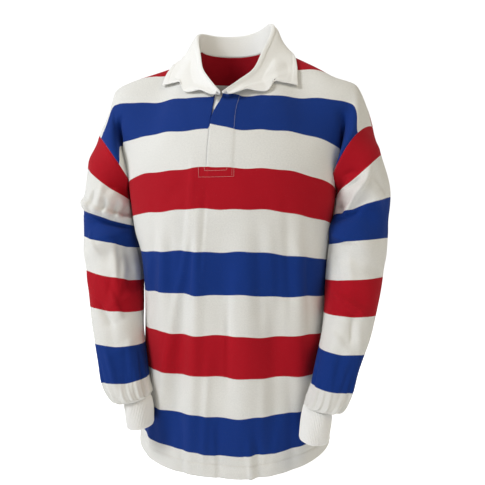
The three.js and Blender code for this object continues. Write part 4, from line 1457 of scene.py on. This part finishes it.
# A sleeve's sections: place on the hoop scale, middle, half width and depth, and tilt.
ARM_COLUMNS = "hoop x y z width depth tilt"
ARM_ROWS = {
    Side.RIGHT: (
        (60, -247, 2, -240, 61, 69, 40), (130, -252, 0, -307, 56, 64, 20), (190, -250, -6, -346, 54, 60, 14),
        (250, -240, -16, -399, 58, 57, 12), (320, -228, -34, -464, 53, 53, 9),
        (390, -212, -56, -523, 45, 48, 3), (450, -195, -78, -576, 42, 44, 0),
        (505, -179, -98, -619, 38, 41, -6), (535, -168, -106, -636, 33, 36, -12),
        (550, -158, -109, -640, 24, 26, -16),
    ),
    Side.LEFT: (
        (60, 236, 0, -233, 58, 68, 45), (130, 242, -4, -289, 57, 64, 20), (190, 233, -10, -343, 57, 60, 8),
        (250, 228, -20, -402, 55, 58, 5), (320, 221, -38, -465, 49, 54, 1),
        (390, 207, -62, -525, 41, 49, -3), (450, 190, -86, -574, 36, 44, -4),
        (505, 177, -104, -617, 34, 40, -7), (535, 169, -112, -634, 32, 35, -11),
        (550, 157, -116, -638, 24, 26, -13),
    ),
}
# On a sleeve a fold's places are the turn from its front, towards the outer side, and the hoop scale.
ARM_FOLDS = (
    Fold((-60, 60), (50, 150), 19, 7), Fold((-55, 108), (40, 196), 17, -7),
    Fold((-75, 160), (30, 236), 18, 7), Fold((-60, 216), (60, 282), 18, -5),
    Fold((130, 60), (205, 190), 21, -6), Fold((150, 170), (215, 290), 21, 5),
    Fold((10, 300), (-14, 520), 16, -5), Fold((60, 340), (44, 530), 16, 5),
    Fold((178, 330), (170, 520), 18, -5),
)
ARM_WRINKLES = {
    Side.RIGHT: (
        Fold((-70, 120), (-6, 126), 11, 9.5, -0.5), Fold((-20, 130), (60, 118), 10, 7.5, -0.5),
        Fold((-66, 150), (-4, 156), 9, -7.5, 0.4), Fold((-12, 154), (56, 144), 9, -5.5, 0.3),
        Fold((-40, 84), (-24, 142), 6, -7.4, 0.3), Fold((-14, 96), (-4, 140), 5, -5.6, 0.3),
        Fold((10, 92), (18, 142), 6, -6.0, -0.3), Fold((-60, 90), (-44, 130), 6, -5.0),
        Fold((-6, 72), (-2, 116), 6, 3.2), Fold((34, 110), (26, 146), 5, -3.0),
        Fold((-28, 200), (-20, 300), 8, 6.4, 0.3), Fold((-56, 206), (-52, 300), 9, -6.4),
        Fold((-8, 300), (-30, 366), 8, 4.2, 0.3), Fold((24, 330), (-10, 384), 7, -4.0, 0.3),
        Fold((24, 190), (6, 238), 6, 3.6, 0.4), Fold((-40, 40), (-12, 88), 6, -2.6, 0.3),
        Fold((-30, 190), (20, 210), 7, 3.0, 0.5), Fold((-45, 250), (-20, 330), 7, 3.2, 0.3),
        Fold((-20, 262), (-4, 330), 6, -2.6), Fold((-70, 300), (10, 350), 7, 2.4, 0.4),
        Fold((20, 420), (6, 500), 6, 2.6), Fold((-30, 400), (-24, 520), 7, -2.6, 0.3),
        Fold((40, 60), (60, 160), 9, -2.0), Fold((60, 220), (40, 330), 9, 2.2),
        Fold((-50, 360), (40, 392), 8, -2.2, 0.4), Fold((-55, 410), (20, 440), 7, 2.2, -0.3),
        Fold((100, 300), (160, 350), 9, 2.4), Fold((110, 380), (170, 430), 9, -2.2),
        Fold((190, 90), (250, 150), 9, 3.0), Fold((200, 230), (240, 300), 9, -2.6),
    ),
    Side.LEFT: (
        Fold((-46, 150), (16, 74), 8, 9.5, 0.5), Fold((-40, 78), (8, 90), 7, -7.0, 0.4),
        Fold((-70, 96), (-44, 150), 7, -7.0, 0.4), Fold((-56, 156), (-8, 152), 8, -7.0, -0.4),
        Fold((-60, 300), (36, 352), 7, 4.4, 0.4), Fold((0, 352), (14, 400), 7, -3.6, 0.3),
        Fold((-6, 146), (40, 134), 8, 3.4, -0.3), Fold((-52, 190), (-16, 214), 6, 4.4, 0.5),
        Fold((20, 96), (46, 140), 7, -2.8, 0.3), Fold((-20, 220), (-10, 290), 8, 3.0),
        Fold((-46, 224), (-40, 300), 8, -3.8), Fold((-30, 30), (-4, 74), 6, -2.6, 0.3),
        Fold((-60, 196), (-6, 212), 6, 3.6, 0.5), Fold((10, 100), (54, 170), 10, -2.4),
        Fold((-50, 250), (30, 262), 8, 2.4, 0.4), Fold((-40, 300), (40, 330), 8, -2.6, 0.3),
        Fold((-60, 340), (0, 352), 6, 2.8), Fold((6, 350), (40, 420), 8, 2.2),
        Fold((-20, 420), (-10, 520), 7, 2.6), Fold((30, 430), (20, 520), 7, -2.4),
        Fold((70, 180), (84, 260), 9, 2.0), Fold((-50, 380), (20, 420), 8, 2.2, -0.3),
        Fold((110, 250), (170, 320), 9, 2.4), Fold((120, 400), (170, 440), 9, -2.2),
        Fold((190, 90), (250, 150), 9, 3.0), Fold((200, 230), (240, 300), 9, -2.6),
    ),
}
CUFF_COLUMNS = "x y z width depth tilt drop"
CUFF_FOOT = {
    Side.RIGHT: (-149, -114, -684, 22.5, 25, -9, 0.6),
    Side.LEFT: (149, -123, -688, 23.5, 25.5, -5, 1.15),
}


@dataclass
class Arm:
    """The form of one sleeve and its cuff.

    turn is the angle round it and hoop the distance down from the armhole.
    """

    torso: Torso
    side: Side
    start: tuple[float, float, float] = (72.0, 76.0, 50.0)
    seam_reach: float = 62.0
    rest_gap: float = 3.0
    rest_fade: float = 60.0
    rest_hoop: float = 250.0
    look: float = 12.0
    pleat_start: float = 455.0
    pleat_grow: float = 70.0
    pleat_end: float = 532.0
    folds_grow: tuple[float, float] = (8.0, 46.0)
    folds_fade: tuple[float, float] = (500.0, 540.0)

    def __post_init__(self) -> None:
        """Sets the sleeve's sections, from the middle of the armhole down."""
        sign, one = np.array([float(self.side.value)]), np.array([1.0])
        top = self.torso.top(Face.FRONT, sign, one)[0]
        under = self.torso.section(Face.FRONT, sign, one, np.array([UNDERARM_HOOP]))[0]
        start = (0, *((top + under) / 2), *self.start)
        self.lines = lines(ARM_COLUMNS, (start, *ARM_ROWS[self.side]))

    def oval(self, row: dict[str, Array], turn: Array) -> Array:
        """A place on an oval section whose outer side is lifted by its tilt.

        Args:
            row: The section's sizes, by name.
            turn: Turns round the sleeve, in degrees.

        Returns:
            The points, in millimetres.
        """
        angle, lean = np.radians(turn), np.radians(row["tilt"])
        return stack(
            row["x"] + self.side.value * row["width"] * np.sin(angle) * np.cos(lean),
            row["y"] - row["depth"] * np.cos(angle),
            row["z"] + row["width"] * np.sin(angle) * np.sin(lean),
        )

    def section(self, hoop: Array) -> dict[str, Array]:
        """The section's sizes at a place on the hoop scale."""
        return {name: line(hoop) for name, line in self.lines.items()}

    def beside_torso(self, place: Array) -> Array:
        """Cloth that would stand inside the torso is moved out to rest beside it.

        Args:
            place: Points of the sleeve.

        Returns:
            The points, moved out where needed.
        """
        x = place[..., 0] - BODY["centre"](self.rest_hoop)
        angle = np.arctan2(x, -place[..., 1])
        low = np.full(angle.shape, UNDERARM_HOOP)
        high = np.full(angle.shape, HEM_HOOP)
        over = smooth(place[..., 2] - self.torso.height(low, angle), 0, self.rest_fade)
        for _ in range(16):
            middle = (low + high) / 2
            above = self.torso.height(middle, angle) > place[..., 2]
            low, high = np.where(above, middle, low), np.where(above, high, middle)
        width = BODY["width"](low) + self.rest_gap
        depth = np.where(place[..., 1] < 0, BODY["front"](low), BODY["back"](low)) + self.rest_gap
        centre = BODY["centre"](low)
        x, y = place[..., 0] - centre, place[..., 1]
        inside = (np.abs(x / width) ** ROUNDNESS + np.abs(y / depth) ** ROUNDNESS) ** (1 / ROUNDNESS)
        push = np.where((inside < 1) & (over < 1), mix(1 / np.maximum(inside, 1e-6), 1.0, over), 1.0)
        return stack(centre + x * push, y * push, place[..., 2])

    def plain(self, turn: Array, hoop: Array) -> Array:
        """A place on the sleeve before its folds.

        Args:
            turn: Turns round the sleeve, in degrees.
            hoop: Places on the hoop scale.

        Returns:
            The points, in millimetres.
        """
        turn, hoop = np.broadcast_arrays(np.asarray(turn, float), np.asarray(hoop, float))
        oval = self.oval(self.section(hoop), turn)
        moved = self.torso.armhole(self.side, turn) - self.oval(self.section(0 * hoop), turn)
        return self.beside_torso(oval + moved * col(1 - smooth(hoop, 0, self.seam_reach)))

    def normal(self, turn: Array, hoop: Array) -> Array:
        """The direction that the sleeve faces before its folds."""
        place = np.clip(hoop, 2, SLEEVE_LONG - 2)
        return facing(self.plain, turn, place, 1, 1.5) * -self.side.value

    def seam_normal(self, turn: Array) -> Array:
        """The direction that both pieces face at the armhole seam.

        Args:
            turn: Turns round the sleeve, in degrees.

        Returns:
            Directions of length 1.
        """
        ahead, behind = self.torso.armhole(self.side, turn + 2), self.torso.armhole(self.side, turn - 2)
        along = unit(ahead - behind)
        below = self.normal(turn, np.full_like(turn, self.look))
        normal = unit(self.torso.armhole_normal(self.side, turn) + below)
        return unit(normal - along * dot(normal, along))

    def pleats(self, turn: Array, hoop: Array) -> Array:
        """The uneven pleats that are gathered into the cuff.

        Args:
            turn: Turns round the sleeve, in degrees.
            hoop: Places on the hoop scale.

        Returns:
            The lift at each place.
        """
        angle = np.radians(turn)
        wander = 1.1 * np.sin(2 * angle + 0.7) + 0.5 * np.sin(5 * angle + 2.1)
        start = self.pleat_start + 26 * np.sin(3 * angle + 1.3) + 14 * np.sin(7 * angle)
        grow = smooth(hoop - start, 0, self.pleat_grow) * (1 - smooth(hoop, self.pleat_end, SLEEVE_LONG))
        coarse = np.cos(13 * angle + wander)
        fine = np.cos(29 * angle + 2 * wander)
        return grow * (2.6 * coarse * (0.75 + 0.25 * np.sin(3 * angle)) + 0.8 * fine)

    def rise(self, turn: Array, hoop: Array) -> Array:
        """How far folds, wrinkles and pleats lift the cloth.

        Args:
            turn: Turns round the sleeve, in degrees.
            hoop: Places on the hoop scale.

        Returns:
            The lift at each place.
        """
        wrapped = np.mod(turn + 90, 360) - 90
        scale = np.radians(1) * self.section(hoop)["depth"]
        folds = sum(f.lift(wrapped * scale, hoop, scale) for f in ARM_FOLDS + ARM_WRINKLES[self.side])
        shown = smooth(hoop, *self.folds_grow) * (1 - smooth(hoop, *self.folds_fade))
        return folds * shown + self.pleats(turn, hoop)

    def point(self, turn: Array, hoop: Array, lift: Array = 0.0) -> Array:
        """A place on the sleeve's outer side, moved out by lift."""
        return self.plain(turn, hoop) + self.normal(turn, hoop) * col(self.rise(turn, hoop) + lift)


@dataclass(frozen=True)
class Sleeve:
    """One long hooped sleeve, from the dropped armhole seam to the gathers above the cuff."""

    arm: Arm
    round_count: int = 136
    down_count: int = 168
    seam_rows: tuple[float, ...] = (0, 1.6, 3.4, 5.6, 8.2)
    even_rows: tuple[float, float] = (11.5, 548.0)
    seam_width: float = 5.0
    under_dip: float = 0.8
    under_width: float = 4.0
    mean_radius: float = 0.055

    def build(self, finishes: Finishes) -> bpy.types.Object:
        """Makes the sleeve from one flat piece whose two edges meet under the arm, and dresses it.

        Args:
            finishes: The finishes that the pieces share.

        Returns:
            The sleeve.
        """
        arm, torso = self.arm, self.arm.torso
        turns = np.linspace(-90, 270, self.round_count)
        hoops = np.concatenate((self.seam_rows, np.linspace(*self.even_rows, self.down_count), [SLEEVE_LONG]))
        turn, hoop = np.meshgrid(turns, hoops, indexing="ij")
        dip = -SEAM_DIP * np.exp(-((hoop / self.seam_width) ** 2))
        under = np.minimum(turn + 90, 270 - turn)
        dip = dip - self.under_dip * np.exp(-((under / self.under_width) ** 2)) * smooth(hoop, 0, 20)
        outer, normal = arm.point(turn, hoop, dip), arm.normal(turn, hoop)
        seam = torso.armhole(arm.side, turns)
        outer[:, 0] = seam + torso.armhole_normal(arm.side, turns) * -SEAM_DIP
        normal[:, 0] = arm.seam_normal(turns)
        girth = 2 * math.pi * self.mean_radius
        cloth = stack(turn / 360 * girth, (hoop + SLEEVE_HOOP_START) * MM, 0 * hoop)
        grid = Grid(outer, outer - normal * CLOTH, cloth)
        made = shell(f"sleeve_{arm.side.word}_cloth", grid, finishes.jersey, flip=arm.side is Side.LEFT)
        return Cloth(f"sleeve_{arm.side.word}", "hooped_jersey", (0.44, 0.56)).dress(made)


@dataclass(frozen=True)
class Cuff:
    """One white ribbed cuff, folded at its lower edge."""

    arm: Arm
    ribs: int = 58
    rib_steps: int = 6
    rib_rise: float = 0.45
    thick: float = 3.0
    rows: int = 34
    swell: float = 1.2
    seam_dip: tuple[float, float] = (1.3, 0.06)
    edge_dip: tuple[float, float] = (0.9, 0.035)
    flat: tuple[float, float] = (0.155, 0.05)

    def build(self, finishes: Finishes) -> bpy.types.Object:
        """Makes the cuff as one turned-over knit, and hides the solid that it stands for.

        Args:
            finishes: The finishes that the pieces share.

        Returns:
            The cuff.
        """
        arm = self.arm
        foot = dict(zip(CUFF_COLUMNS.split(), CUFF_FOOT[arm.side]))
        top = arm.section(np.array(SLEEVE_LONG))
        turns = np.linspace(-90, 270, self.ribs * self.rib_steps + 1)
        turn, share = np.meshgrid(turns, np.linspace(0, 1, self.rows), indexing="ij")
        row = {name: mix(float(top[name]), foot[name], share) for name in top}
        row["z"] = row["z"] - foot["drop"]
        angle = np.radians(turn)
        swell = self.swell * np.sin(math.pi * share)
        for (deep, wide), place in ((self.seam_dip, share), (self.edge_dip, 1 - share)):
            swell = swell - deep * np.exp(-((place / wide) ** 2))
        slack = 0.5 * np.sin(3 * angle + 4 * share) + 0.4 * np.sin(5 * angle - 5 * share + 1)
        rib = self.rib_rise * np.cos(angle * self.ribs) * (1 - smooth(share, 0.95, 1))
        outer, inner = (
            arm.oval({**row, "width": row["width"] + more, "depth": row["depth"] + more}, turn)
            for more in (swell + slack + rib, slack - self.thick)
        )
        cloth = stack(turn / 360 * self.flat[0], share * self.flat[1], 0 * share)
        grid = Grid(outer, inner, cloth)
        made = shell(f"cuff_{arm.side.word}_rib", grid, finishes.cuff, flip=arm.side is Side.LEFT)
        return Cloth(f"cuff_{arm.side.word}", "white_cuff", (0.165, 0.055), Held.STRETCHED).dress(made)


COLLAR_START = {Side.RIGHT: 0.018, Side.LEFT: 0.002}
NECK_FRONT_SHARE = 0.6
# The collar's lines: seam, the roll's x, y and z, and the panel, column and row that the free edge lies on.
COLLAR_ROWS = (
    (0, -15, -99, -98, Face.FRONT, -0.484, 1.6), (0.14, -32, -87, -76, Face.FRONT, -0.492, 1.68),
    (0.28, -52, -66, -44, Face.FRONT, -0.494, 1.78), (0.42, -62, -42, -8, Face.FRONT, -0.486, 1.88),
    (0.56, -73, -10, 36, Face.FRONT, -0.47, 1.97), (0.7, -72, 22, 62, Face.BACK, -0.43, 1.9),
    (0.84, -42, 54, 70, Face.BACK, -0.24, 1.83), (1, 4, 66, 73, Face.BACK, 0, 1.85),
    (1.16, 44, 54, 76, Face.BACK, 0.24, 1.83), (1.3, 70, 22, 74, Face.BACK, 0.43, 1.9),
    (1.44, 76, -10, 44, Face.FRONT, 0.47, 1.95), (1.58, 62, -44, -8, Face.FRONT, 0.484, 1.82),
    (1.72, 48, -66, -48, Face.FRONT, 0.482, 1.7), (1.86, 22, -86, -76, Face.FRONT, 0.472, 1.6),
    (2, -3, -99, -98, Face.FRONT, 0.464, 1.52),
)
LEAF_WAVE = lines("along drop lift", (
    (0, 0, 0), (0.1, -3, 2), (0.19, -6, 3), (0.36, -11, 1), (0.54, -1, 4), (0.63, 0, 4), (0.7, -14, 0),
    (0.82, -9, 0), (1, 0, 0),
))


@dataclass
class Collar:
    """The white turned-down collar with its stand.

    seam runs from its right front end, 0, over the centre back, 1, to its left front end, 2. part runs up the
    stand to 1, over the roll to 2, and down to the free edge, 3.
    """

    torso: Torso
    slit: FrontSlit
    thick: float = 2.2
    rise_foot: float = 0.8
    roll_radius: float = 5.0
    edge_lift: float = 5.0
    rest_lift: float = 4.2
    leave: tuple[float, float] = (0.35, 0.5)
    arrive: tuple[float, float] = (0.9, 0.2)
    wave_seam: float = 0.2
    seam_count: int = 230
    stand_count: int = 12
    roll_count: int = 14
    fall_count: int = 44
    neck_count: int = 60
    stitch_part: float = 2.9
    stitch_valley: tuple[float, float] = (0.5, 0.02)
    hem_part: float = 2.93
    hem_rise: float = 0.25
    fall_parts: tuple[float, float] = (2.0, 2.4)
    fall_lift: float = 0.7
    neighbours: int = 4
    nearness: float = 0.5
    flat: tuple[float, float] = (0.24, 0.04)
    near_panel: tuple[float, float, float] = (0.64, 1.4, 1.9)
    panel_counts: tuple[int, int] = (150, 80)

    def __post_init__(self) -> None:
        """Finds the neckline and the collar's lines."""
        rows = []
        for *roll, face, column, row in COLLAR_ROWS:
            edge = self.torso.point(face, np.array([column]), np.array([float(row)]), self.edge_lift)[0]
            rows.append((*roll, *edge))
        self.lines = lines("seam rollX rollY rollZ edgeX edgeY edgeZ", rows)
        self.neckline()

    def neckline(self) -> None:
        """Reads the panels' neck edge as one line on the seam scale."""
        seams, places, normals = [], [], []
        for side in (-1, 1):
            start = COLLAR_START[Side(side)]
            for face in Face:
                column = np.linspace(start if face is Face.FRONT else 0.0, NECK_SHARE, self.neck_count)
                across = side * column
                if face is Face.FRONT and side > 0:
                    across = self.slit.moved(across, np.full_like(across, 2.0))
                    across = np.maximum(across, start)
                row = np.full_like(across, 2.0)
                front = (column - start) / (NECK_SHARE - start) * NECK_FRONT_SHARE
                share = front if face is Face.FRONT else 1 - column / NECK_SHARE * (1 - NECK_FRONT_SHARE)
                seams.append(share if side < 0 else 2 - share)
                places.append(self.torso.point(face, across, row))
                normals.append(self.torso.normal(face, across, row))
        order = np.argsort(np.concatenate(seams), kind="stable")
        self.seams = np.concatenate(seams)[order]
        self.neck, self.neck_normal = np.concatenate(places)[order], np.concatenate(normals)[order]

    def foot(self, seam: Array) -> tuple[Array, Array]:
        """The neckline's place and the panel's direction there."""
        place = np.stack([np.interp(seam, self.seams, self.neck[:, k]) for k in range(3)], -1)
        normal = unit(np.stack([np.interp(seam, self.seams, self.neck_normal[:, k]) for k in range(3)], -1))
        return place, normal

    def surface(self, seam: Array, part: Array) -> Array:
        """The collar's upper side before it rests on the panels.

        Args:
            seam: Places along the collar.
            part: Places up the stand and down the fall.

        Returns:
            The points, in millimetres.
        """
        line = {name: value(seam) for name, value in self.lines.items()}
        roll = stack(line["rollX"], line["rollY"], line["rollZ"])
        edge = stack(line["edgeX"], line["edgeY"], line["edgeZ"])
        place, normal = self.foot(seam)
        start = place + UP * self.rise_foot - normal * self.thick
        flat = edge - start
        out = unit(flat * np.array((1.0, 1.0, 0.0)))
        low = roll - UP * self.roll_radius
        stand = mix(start, low - out * self.roll_radius, col(np.clip(part, 0, 1)))
        angle = math.pi * np.clip(part - 1, 0, 1)
        forward, climb = (col(self.roll_radius * turned(angle)) for turned in (np.cos, np.sin))
        rolled = low - out * forward + UP * climb
        run = np.clip(part - 2, 0, 1)
        top = low + out * self.roll_radius
        fall = np.linalg.norm(edge - top, axis=-1, keepdims=True)
        leave = UP * -fall * self.leave[0] + out * fall * self.leave[1]
        arrive = (edge - top) * self.arrive[0] + out * fall * self.arrive[1]
        down = hermite(top, leave, edge, arrive, col(run))
        near = 1 - smooth(np.minimum(seam, 2 - seam), 0, self.wave_seam)
        down[..., 2] -= LEAF_WAVE["drop"](run) * near
        down[..., 1] -= LEAF_WAVE["lift"](run) * near
        return np.where(col(part <= 1), stand, np.where(col(part < 2), rolled, down))

    def over_panels(self, place: Array, part: Array) -> Array:
        """Moves the fall out where it would stand in a panel.

        Args:
            place: Points of the collar.
            part: The part of each point.

        Returns:
            The points, moved out where needed.
        """
        aside, low, first = self.near_panel
        columns = np.linspace(-aside, aside, self.panel_counts[0])
        across, row = np.meshgrid(columns, np.linspace(low, 2, self.panel_counts[1]), indexing="ij")
        points, normals = (
            np.concatenate([form(face, across, row).reshape(-1, 3) for face in Face])
            for form in (self.torso.point, self.torso.normal)
        )
        tree = KDTree(len(points))
        for k, p in enumerate(points):
            tree.insert(Vector(p), k)
        tree.balance()
        flat, parts = place.reshape(-1, 3).copy(), part.ravel()
        for k in np.flatnonzero(parts >= first):
            found = tree.find_n(Vector(flat[k]), self.neighbours)
            weight = np.array([1 / (f[2] + self.nearness) for f in found])
            index = [f[1] for f in found]
            normal = unit((normals[index] * weight[:, None]).sum(0))
            height = float(((flat[k] - points[index]) @ normal * weight).sum() / weight.sum())
            if height < self.rest_lift:
                flat[k] += normal * (self.rest_lift - height)
        return flat.reshape(place.shape)

    def grid(self) -> tuple[Grid, Array]:
        """The collar's points, and the parts at which its rows stand.

        Returns:
            The points, and the parts of the rows.
        """
        seams = np.linspace(0, 2, self.seam_count)
        parts = np.concatenate((
            np.linspace(0, 1, self.stand_count)[:-1], np.linspace(1, 2, self.roll_count)[:-1],
            crowd(2, 3, self.fall_count, False, True),
        ))
        seam, part = np.meshgrid(seams, parts, indexing="ij")
        place = self.over_panels(self.surface(seam, part), part)
        fall = smooth(part, *self.fall_parts)
        broad = 0.7 * np.sin(seam * 9 + part * 3) * np.sin(part * 4.1 + seam * 5)
        ripple = broad + 0.35 * np.sin(seam * 31 + part * 5)
        deep, wide = self.stitch_valley
        valley = deep * np.exp(-(((part - self.stitch_part) / wide) ** 2))
        hem = self.hem_rise * smooth(part, self.stitch_part, self.hem_part) - valley
        outer = place + grid_normals(place) * col((ripple + self.fall_lift + hem) * fall)
        normal, foot_normal = grid_normals(outer), self.foot(seams)[1]
        normal[:, 0] = -foot_normal
        inner = outer - normal * self.thick
        inner[:, 0] = outer[:, 0] + foot_normal * self.thick
        return Grid(outer, inner, stack(seam * self.flat[0], part * self.flat[1], 0 * seam)), parts

    def build(self, finishes: Finishes) -> bpy.types.Object:
        """Makes the collar, keeps the line of its stitches, and hides the solid that it stands for.

        Args:
            finishes: The finishes that the pieces share.

        Returns:
            The collar.
        """
        grid, parts = self.grid()
        row = int(np.argmin(np.abs(parts - self.stitch_part)))
        self.stitch_line = grid.outer[2:-2, row], unit(grid.outer - grid.inner)[2:-2, row]
        made = shell("collar_leaf", grid, finishes.drill)
        return Cloth("collar", "white_drill", (0.48, 0.13), Held.FOLDED).dress(made)


@dataclass(frozen=True)
class Seams:
    """The rows of stitches that show: the hem, the placket and its box, and the collar's edge."""

    torso: Torso
    slit: FrontSlit
    collar: Collar
    hem_ends: float = 0.995
    hem_count: int = 700
    placket_line: float = 0.084
    placket_hoops: tuple[float, float] = (6.0, 157.0)
    placket_count: int = 260
    # The box at the placket's foot: upper and lower hoop places, and right and left columns.
    boxes: tuple[tuple[float, ...], ...] = ((139, 157, -0.096, 0.094), (141.5, 148, -0.062, 0.058))
    box_counts: tuple[int, int] = (80, 30)

    def on_panel(self, panel: Panel, across: Array, hoop: Array, lift: float) -> tuple[Array, Array]:
        """A line on a panel and the way out of it."""
        row = np.array([hoop_row(h) for h in np.broadcast_to(hoop, np.shape(across))])
        place = panel.points(across, row, np.full_like(row, lift))[0]
        return place, self.torso.normal(panel.face, across, row)

    def hem(self, panels: dict[Face, Panel]) -> Stitching:
        """Sews the hem all round.

        Args:
            panels: The front and the back.

        Returns:
            The rows of stitches.
        """
        rows, across = Stitching("hem_stitches"), np.linspace(-self.hem_ends, self.hem_ends, self.hem_count)
        for panel in panels.values():
            rows.sew(*self.on_panel(panel, across, HEM_STITCH, 0.1))
        return rows

    def placket(self, front: Panel) -> Stitching:
        """Sews the line down the placket and the box at its foot.

        Args:
            front: The front.

        Returns:
            The rows of stitches.
        """
        sewn = Stitching("placket_stitches")
        down = np.linspace(*self.placket_hoops, self.placket_count)
        rows = np.array([hoop_row(h) for h in down])
        line = self.slit.moved(np.full_like(down, self.placket_line), rows)
        line = np.where(rows > hoop_row(self.slit.bottom_hoop), line, self.placket_line)
        sewn.sew(*self.on_panel(front, line, down, 0.95), long=2.2, thick=0.34)
        wide, tall = self.box_counts
        for high, low, left, right in self.boxes:
            over, down = np.linspace(left, right, wide), np.linspace(high, low, tall)
            across = np.concatenate((over, np.full(tall, right), over[::-1], np.full(tall, left)))
            hoop = np.concatenate((np.full(wide, high), down, np.full(wide, low), down[::-1]))
            sewn.sew(*self.on_panel(front, across, hoop, 1.0), long=2.0, gap=0.5, thick=0.4)
        return sewn

    def build(self, panels: dict[Face, Panel], finishes: Finishes) -> list[bpy.types.Object]:
        """Sews every row.

        Args:
            panels: The front and the back.
            finishes: The finishes that the pieces share.

        Returns:
            The three pieces.
        """
        edge = Stitching("collar_stitches")
        edge.sew(*self.collar.stitch_line, long=2.2)
        rows = self.hem(panels), self.placket(panels[Face.FRONT]), edge
        return [row.make(finishes.thread) for row in rows]


# Studio


LAMP_AIM = Vector((0, 0, -0.34))


@dataclass(frozen=True)
class Lamp:
    """A soft studio lamp."""

    name: str
    place: tuple[float, float, float]
    size: float
    power: float
    colour: tuple[float, float, float]

    def build(self) -> None:
        """Adds the lamp, turned to the shirt's middle."""
        data = bpy.data.lights.new(self.name, "AREA")
        data.shape, data.size, data.energy, data.color = "DISK", self.size, self.power, self.colour
        lamp = bpy.data.objects.new(self.name, data)
        lamp.location = self.place
        lamp.rotation_euler = (LAMP_AIM - Vector(self.place)).to_track_quat("-Z", "Y").to_euler()
        bpy.context.scene.collection.objects.link(lamp)


@dataclass(frozen=True)
class Studio:
    """A pale floor, soft light and the camera at the photograph's angle."""

    azimuth: float = 7.0
    lens: float = 31.93
    distance: float = 0.85
    aside: float = 0.016
    height: float = -0.365
    floor_height: float = -0.93
    floor_radius: float = 9.0
    floor_corners: int = 96
    floor_pale: tuple = (0.93, 0.93, 0.93, 1.0)
    floor_white: tuple = (0.96, 0.96, 0.96, 1.0)
    floor_glow: tuple[float, float] = (0.35, 0.5)
    world_light: tuple[float, float] = (0.3, 0.75)
    lamps: tuple[Lamp, ...] = (
        Lamp("key_left", (-1.75, -1.35, 1.3), 0.8, 50, (0.96, 0.98, 1.0)),
        Lamp("fill_right", (1.9, -1.15, 1.5), 1.1, 15, (1.0, 0.85, 0.54)),
        Lamp("rim_behind", (0.3, 2.4, 1.8), 1.6, 12, (1.0, 0.98, 0.95)),
    )

    def build(self) -> None:
        """Adds floor, light and camera."""
        for lamp in self.lamps:
            lamp.build()
        self.floor()
        self.world()
        self.camera()

    def floor(self) -> None:
        """Adds a wide pale floor, which glows more to the camera than to the shirt."""
        turn = np.linspace(0, 2 * math.pi, self.floor_corners, endpoint=False)
        radius = self.floor_radius / MM
        ring = stack(radius * np.cos(turn), radius * np.sin(turn), np.full_like(turn, self.floor_height / MM))
        material, n, shader = open_finish("pale_floor")
        uneven = n.noise(n.add("ShaderNodeTexCoord").outputs["Object"], 1.4, 2.0)
        n.join(n.blend(uneven, self.floor_pale, self.floor_white), shader.inputs["Base Color"])
        shader.inputs["Roughness"].default_value = 0.9
        shader.inputs["Emission Color"].default_value = (1.0, 1.0, 1.0, 1.0)
        n.join(self.glow(n, self.floor_glow), shader.inputs["Emission Strength"])
        make_mesh("floor", ring, [tuple(range(len(ring)))], material)

    def world(self) -> None:
        """Sets even white light all round."""
        world = bpy.data.worlds.new("studio_white")
        world.use_nodes = True
        back = world.node_tree.nodes["Background"]
        back.inputs["Color"].default_value = (1.0, 1.0, 1.0, 1.0)
        n = Nodes(world.node_tree)
        n.join(self.glow(n, self.world_light), back.inputs["Strength"])
        bpy.context.scene.world = world

    @staticmethod
    def glow(n: Nodes, strengths: tuple[float, float]) -> bpy.types.NodeSocket:
        """A glow of the first strength, and of both together where the camera sees it."""
        seen = n.add("ShaderNodeLightPath").outputs["Is Camera Ray"]
        return n.math("ADD", strengths[0], n.times(seen, strengths[1]))

    def camera(self) -> None:
        """Adds the level camera."""
        a = math.radians(self.azimuth)
        right, ahead = Vector((math.cos(a), math.sin(a), 0)), Vector((-math.sin(a), math.cos(a), 0))
        data = bpy.data.cameras.new("camera")
        data.lens, data.sensor_width = self.lens, 36.0
        data.clip_start, data.clip_end = 0.01, 60.0
        camera = bpy.data.objects.new("camera", data)
        camera.location = right * self.aside - ahead * self.distance + Vector((0, 0, self.height))
        camera.rotation_euler = ahead.to_track_quat("-Z", "Y").to_euler()
        bpy.context.scene.collection.objects.link(camera)
        bpy.context.scene.camera = camera
        bpy.context.scene.view_settings.view_transform = "Standard"


def main() -> None:
    """Builds the studio and every piece, in order."""
    logging.basicConfig(level=logging.INFO, format="%(name)s: %(message)s")
    Studio().build()
    finishes = Finishes.build()
    torso = Torso()
    arms = {side: Arm(torso, side) for side in Side}
    panels = {face: Panel(torso, face, arms) for face in Face}
    slit = panels[Face.FRONT].slit
    made = [panel.build(finishes) for panel in panels.values()]
    made.append(Underlap(torso).build(finishes))
    for arm in arms.values():
        made += [Sleeve(arm).build(finishes), Cuff(arm).build(finishes)]
    collar = Collar(torso, slit)
    made.append(collar.build(finishes))
    made += Seams(torso, slit, collar).build(panels, finishes)
    for piece in made:
        log.info("%s: %d faces", piece.name, len(piece.data.polygons))


if __name__ == "__main__":
    main()
